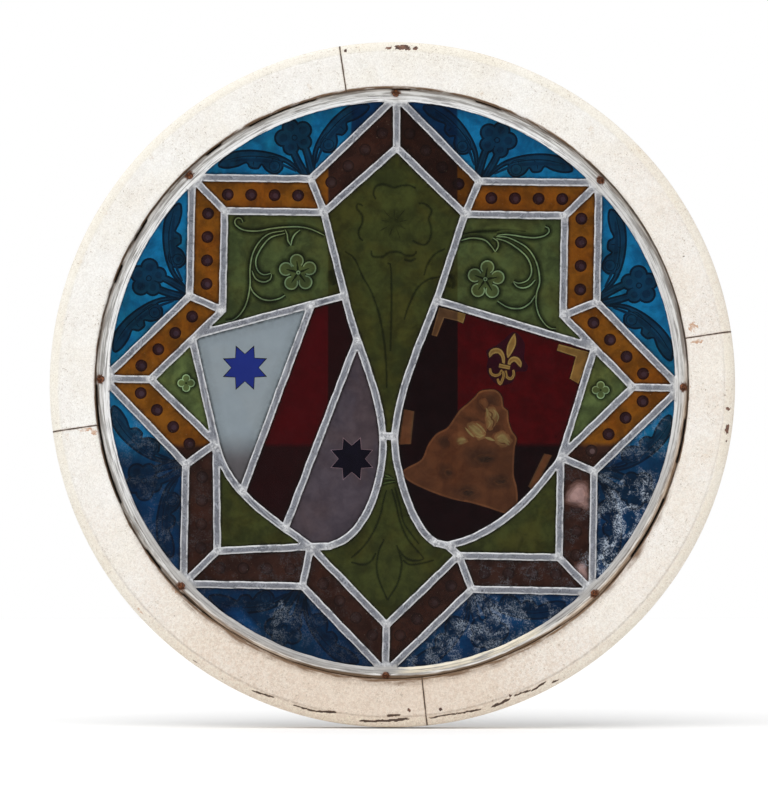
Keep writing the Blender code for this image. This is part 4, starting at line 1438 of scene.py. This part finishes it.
def little_star(centre, fill, line, rim=1.3):
    """Return a shield's eight-pointed star with a thin outline."""
    layers = []
    for tint, grow in ((line, rim), (fill, 0.0)):
        outline = []
        for k in range(8):
            tip, waist = LITTLE_STAR_RADIUS + grow * 1.8, LITTLE_STAR_WAIST + grow * 0.6
            outline.append(Vector(centre) + polar(tip, 45 * k + 22.5))
            outline.append(Vector(centre) + polar(waist, 45 * k + 45))
        layers.append((tint, outline))
    return layers


FIRST_DOT = 21.5
DOT_PITCH = 26.2


def band_dots(number):
    """Return the four dots of one band pane, counted from the notch end."""
    k, second = divmod(number - 1, 2)
    tip_bearing = 45 * (k + second) + STAR_TURN
    notch_bearing = 45 * k + 22.5 + STAR_TURN
    inner = STAR_RADIUS - BAND_WIDTH * math.sqrt(2)
    tip, notch = polar(STAR_RADIUS, tip_bearing), polar(STAR_RADIUS * NOTCH_SHARE, notch_bearing)
    inner_tip = polar(inner, tip_bearing)
    inner_notch = polar(inner * NOTCH_SHARE, notch_bearing)
    start, end = (notch + inner_notch) / 2, (tip + inner_tip) / 2
    way = (end - start).normalized()
    layers = []
    for i in range(4):
        centre = start + way * (FIRST_DOT + DOT_PITCH * i)
        # Each dot has a dark rim and a painted highlight off to its lower right, brighter on pane 16
        layers += [("dot_rim", circle(centre, 6.8)), ("dot", circle(centre, 5.2)),
                   ("dot_glint" if number == 16 else "dot_shine", circle(centre + Vector((0.9, -0.6)), 2.9))]
    return layers


ORNAMENT = {name: [] for name in PANES}
for k in range(POINTS):
    notch_bearing = 45 * k + 22.5 + STAR_TURN
    notch = polar(STAR_RADIUS * NOTCH_SHARE, notch_bearing)
    ORNAMENT[f"blue_pane_{k + 1}"] = placed(leaf_spray(), notch, notch_bearing)
for number in range(1, 2 * POINTS + 1):
    ORNAMENT[f"band_pane_{number}"] = band_dots(number)
ORNAMENT["green_pane_left"] = four_petals((-228, 1), 5.2, 4.4)
ORNAMENT["green_pane_right"] = four_petals((232, -8), 5.2, 4.4)
ORNAMENT["green_pane_upper_left"] = left_scroll()
ORNAMENT["green_pane_upper_right"] = right_scroll()
ORNAMENT["green_pane_top"] = rose()
ORNAMENT["green_pane_bottom"] = pointed_leaves()
ORNAMENT["right_shield_pane"] = shield_charges()
# Soft blots: pale smudges on an amber band pane, and a brighter patch of painted light on a lower blue pane
BLOTS = (
    ("band_pane_15", "amber", "smudge", (1.25, 1.1, 0.95, 0.8, 0.6),
     vectors((192, -129), (203, -112.5), (217, -112.5), (218, -137), (206.6, -135.4))),
    ("band_pane_15", "amber", "smudge", (1.25, 1.1, 0.95, 0.8, 0.6),
     vectors((203, -203), (214, -200.5), (218, -218), (214, -220))),
    ("blue_pane_6", "leaf", "blue_glow", (1.0, 0.88, 0.76, 0.62, 0.46),
     vectors((-186, -250), (-168, -248), (-150, -262), (-138, -280), (-150, -280), (-170, -266))),
)
for pane_name, ground, tint, sizes, points in BLOTS:
    ORNAMENT[pane_name] += soft_blot(closed_flow(points), ground, tint, sizes)
ORNAMENT["left_shield_pale_pane"] = little_star((-162.5, 18), "star", "star_line")
ORNAMENT["left_shield_grey_pane"] = little_star((-43.5, -83.5), "dark_star", "dark_star_line", rim=0.7)

GROUNDS = {
    "blue": "blue", "band": "amber", "green": "green", "left_shield_pale": "pale",
    "left_shield_red": "red", "left_shield_grey": "grey", "right_shield": "ruby",
}
# How thickly dust lies on the lower panes, and on the rest
DUST = {
    "blue_pane_5": 0.08, "blue_pane_6": 0.07, "blue_pane_7": 0.22, "blue_pane_8": 0.34,
    "band_pane_10": 0.03, "band_pane_11": 0.07, "band_pane_12": 0.03, "band_pane_14": 0.1,
    "band_pane_15": 0.06}
LOW_DUST = 0.003
# How many pale flecks a kind of pane has
FLECKS = {"band": 0.3, "blue": 0.06, "green": 0.06}
# Where dust lies thickest: x, z, how far it reaches in millimetres, and how much more there is
DRIFTS = (
    (264, -121, 20, 1.1), (262, -156, 26, 1.2), (240, -198, 20, 1.2), (248, -176, 24, 0.6),
    (222, -214, 12, 0.8), (62, -279, 34, 0.35), (109, -268, 34, 0.45), (165, -251, 30, 0.45),
    (30, -300, 20, 0.2), (-122, -264, 16, 0.35), (-122, -244, 6, 0.6), (-268, -60, 20, 0.15),
    (-250, -160, 30, 0.1))
# How much brighter or darker a pane is than its tints
TONE = {
    "green_pane_left": 1.34, "green_pane_right": 1.26, "green_pane_upper_left": 0.84,
    "green_pane_upper_right": 0.86, "band_pane_4": 0.6, "blue_pane_6": 0.8, "blue_pane_5": 0.9}
# How cloudy the colour of a kind of pane is, where it isn't fully so
CLOUDY = {"left_shield_pale": 0.12, "left_shield_red": 0.35, "left_shield_grey": 0.6, "right_shield": 0.7}

# Rows of points inside a pane's edge, between which its grime and painted shade thin, in millimetres
GRIME_AND_SHADE_ROWS = (3.9, 6.2, 10.0, 16.0)


def glass_pane(name, material):
    """Make one pane: its painted front in flush areas of two tints each, a plain back and edges."""
    kind = next(key for key in GROUNDS if name.startswith(key))
    slot = f"{GROUNDS[kind]}_glass"
    outline = rounded(PANES[name], 4.0)
    layers = [(GROUNDS[kind], outline)] + ORNAMENT[name]
    tree = tree_of(outline)
    extra = [p for inset in GRIME_AND_SHADE_ROWS for p in shifted(outline, inset)]
    back_extra = extra + shifted(outline, 30.0)
    if name in DUST:
        low_x, high_x = min(p.x for p in outline), max(p.x for p in outline)
        low_z, high_z = min(p.y for p in outline), max(p.y for p in outline)
        for x in np.arange(low_x, high_x, 7.3):
            extra += [Vector((x, z)) for z in np.arange(low_z, high_z, 7.1)]
    # Blue and pale panes get a softer, leaning edge to their painted shade
    fading_edge = 1.0 if kind in ("left_shield_pale", "blue") else 0.0
    found, faces, owners = triangulated([loop for _, loop in layers], extra)
    tints = [shade_of(layers[own][0]) for own in owners]
    shell = Shell()

    def grimed_and_shaded(points):
        """Return how much grime and painted shade lie at places on the pane, from its rim inwards."""
        reaches = [tree.find((p[0], p[1], 0))[2] for p in points]
        return [1 - 0.75 * smooth(3.9, 6.2, reach) - 0.25 * smooth(6, 16, reach) for reach in reaches]

    dust = []
    for p in found:
        share = DUST.get(name, LOW_DUST)
        for x, z, reach, more in DRIFTS:
            share += more * math.exp(-(p - Vector((x, z))).length_squared / reach**2) * (name in DUST)
        dust.append(share)
    constants = {"fading": fading_edge, "cloudy": CLOUDY.get(kind, 1.0), "flecks": FLECKS.get(kind, 0.02)}
    shell.add(at_level(found, GLASS_FRONT), faces, rim=grimed_and_shaded(found), dust=dust, **constants)
    back_found, back_faces = first_only([outline], back_extra)
    shell.add(at_level(back_found, GLASS_BACK), back_faces, rim=grimed_and_shaded(back_found), dust=0.02, **constants)
    edges = [at_level(outline, level) for level in (GLASS_FRONT, GLASS_BACK)]
    shell.strip(*edges, rim=1.0, dust=0.02, **constants)
    made = shell.piece(name.replace("_pane", "_glass"), material, slot, name, merge=0.004)
    # The top green pane's painted front takes only its dim tints: painted shade over all of it
    if name == "green_pane_top":
        tints = [(dark, dark) for _, dark in tints]
    tint_faces(made.data, tints, faces, found, shade_of(GROUNDS[kind]), TONE.get(name, 1.0))
    return made


def shade_of(tint):
    """Return a tint's two colours, or those of two tints mixed by a share."""
    if isinstance(tint, str):
        return TINTS[tint]
    start, end, share = tint
    pairs = zip(shade_of(start), shade_of(end))
    return tuple(tuple(a + (b - a) * share for a, b in zip(first, second)) for first, second in pairs)


def tint_faces(mesh, tints, faces, found, ground, tone):
    """Store the lit and the dim tint of each face's corners, found again by the face's middle."""
    lookup = tree_of([centroid([found[k] for k in face]) for face in faces])
    lit, dim = [], []
    for face in mesh.polygons:
        centre = face.center
        shades = ground
        if abs(centre.y / MM - GLASS_FRONT) < 0.01:
            shades = tints[lookup.find((centre.x / MM, (centre.z - MIDDLE_Z) / MM, 0))[1]]
        bright, dark = ([tone * channel for channel in linear(*shade)] for shade in shades)
        lit += list(bright) * face.loop_total
        dim += list(dark) * face.loop_total
    mesh.attributes.new("lit_tint", "FLOAT_COLOR", "CORNER").data.foreach_set("color", lit)
    mesh.attributes.new("dim_tint", "FLOAT_COLOR", "CORNER").data.foreach_set("color", dim)


# Stage, light and camera

CAMERA_DISTANCE = 4.0
CAMERA_AZIMUTH = 3.0
CAMERA_ELEVATION = -3.0
VIEW_HEIGHT = 0.8764
AIM = (-7.7, -13.5)
SOFT_LIGHT = 0.52
KEY_LIGHT = 2.3
LIGHT_AZIMUTH = -26.0
LIGHT_ELEVATION = 64.0


def direction_to(azimuth, elevation):
    """Return the way from the disc to the viewer's side, so many degrees to the right and up."""
    turn, rise = math.radians(azimuth), math.radians(elevation)
    return Vector((math.sin(turn) * math.cos(rise), -math.cos(turn) * math.cos(rise), math.sin(rise)))


def studio():
    """Make the pale floor, the soft light and the camera at the photograph's angle."""
    size = 12.0
    floor_level = cad_box[0].z - MM
    corners = [(-size, -size), (size, -size), (size, size), (-size, size)]
    mesh = bpy.data.meshes.new("floor")
    mesh.from_pydata([(x, y, floor_level) for x, y in corners], [], [(0, 1, 2, 3)])
    floor = placed_object("floor", mesh)
    pale = Paint("pale_floor", 0.9)
    mesh.materials.append(pale.finish((0.97, 0.97, 0.97, 1)))

    world = bpy.data.worlds.new("studio_white")
    bpy.context.scene.world = world
    world.use_nodes = True
    tree = world.node_tree
    sky = tree.nodes["Background"]
    sky.inputs["Color"].default_value = (1, 1, 1, 1)
    ray = tree.nodes.new("ShaderNodeLightPath")
    strength = tree.nodes.new("ShaderNodeMapRange")
    strength.inputs["To Min"].default_value = SOFT_LIGHT
    strength.inputs["To Max"].default_value = 1.0
    tree.links.new(ray.outputs["Is Camera Ray"], strength.inputs["Value"])
    tree.links.new(strength.outputs["Result"], sky.inputs["Strength"])

    lamp = bpy.data.lights.new("key_light", "SUN")
    lamp.angle = math.radians(80)
    lamp.energy = KEY_LIGHT
    light = placed_object("key_light", lamp)
    light.rotation_mode = "QUATERNION"
    light.rotation_quaternion = direction_to(LIGHT_AZIMUTH, LIGHT_ELEVATION).to_track_quat("Z", "Y")

    camera_data = bpy.data.cameras.new("camera")
    camera = placed_object("camera", camera_data)
    target = Vector(in_frame(AIM, PANEL_FRONT))
    back = direction_to(CAMERA_AZIMUTH, CAMERA_ELEVATION)
    camera.location = target + back * CAMERA_DISTANCE
    camera.rotation_mode = "QUATERNION"
    camera.rotation_quaternion = (-back).to_track_quat("-Z", "Y")
    camera_data.lens = camera_data.sensor_width * CAMERA_DISTANCE / VIEW_HEIGHT
    bpy.context.scene.camera = camera
    bpy.context.scene.view_settings.view_transform = "Standard"


def main():
    """Build every piece and the studio."""
    studio()
    came_lattice()
    paint = timber_paint()
    for node in sorted(nodes):
        if node.startswith("timber_segment"):
            timber_segment(node, paint)
    putty_ring(putty_paint())
    rust = rust_paint()
    for k in range(POINTS):
        glazing_nail(f"glazing_nail_{k + 1}", rust)
    clear = glass_paint("painted_glass", 0.22)
    dusty = glass_paint("dusty_glass", 0.35)
    for name in PANES:
        glass_pane(name, dusty if name in DUST else clear)


main()
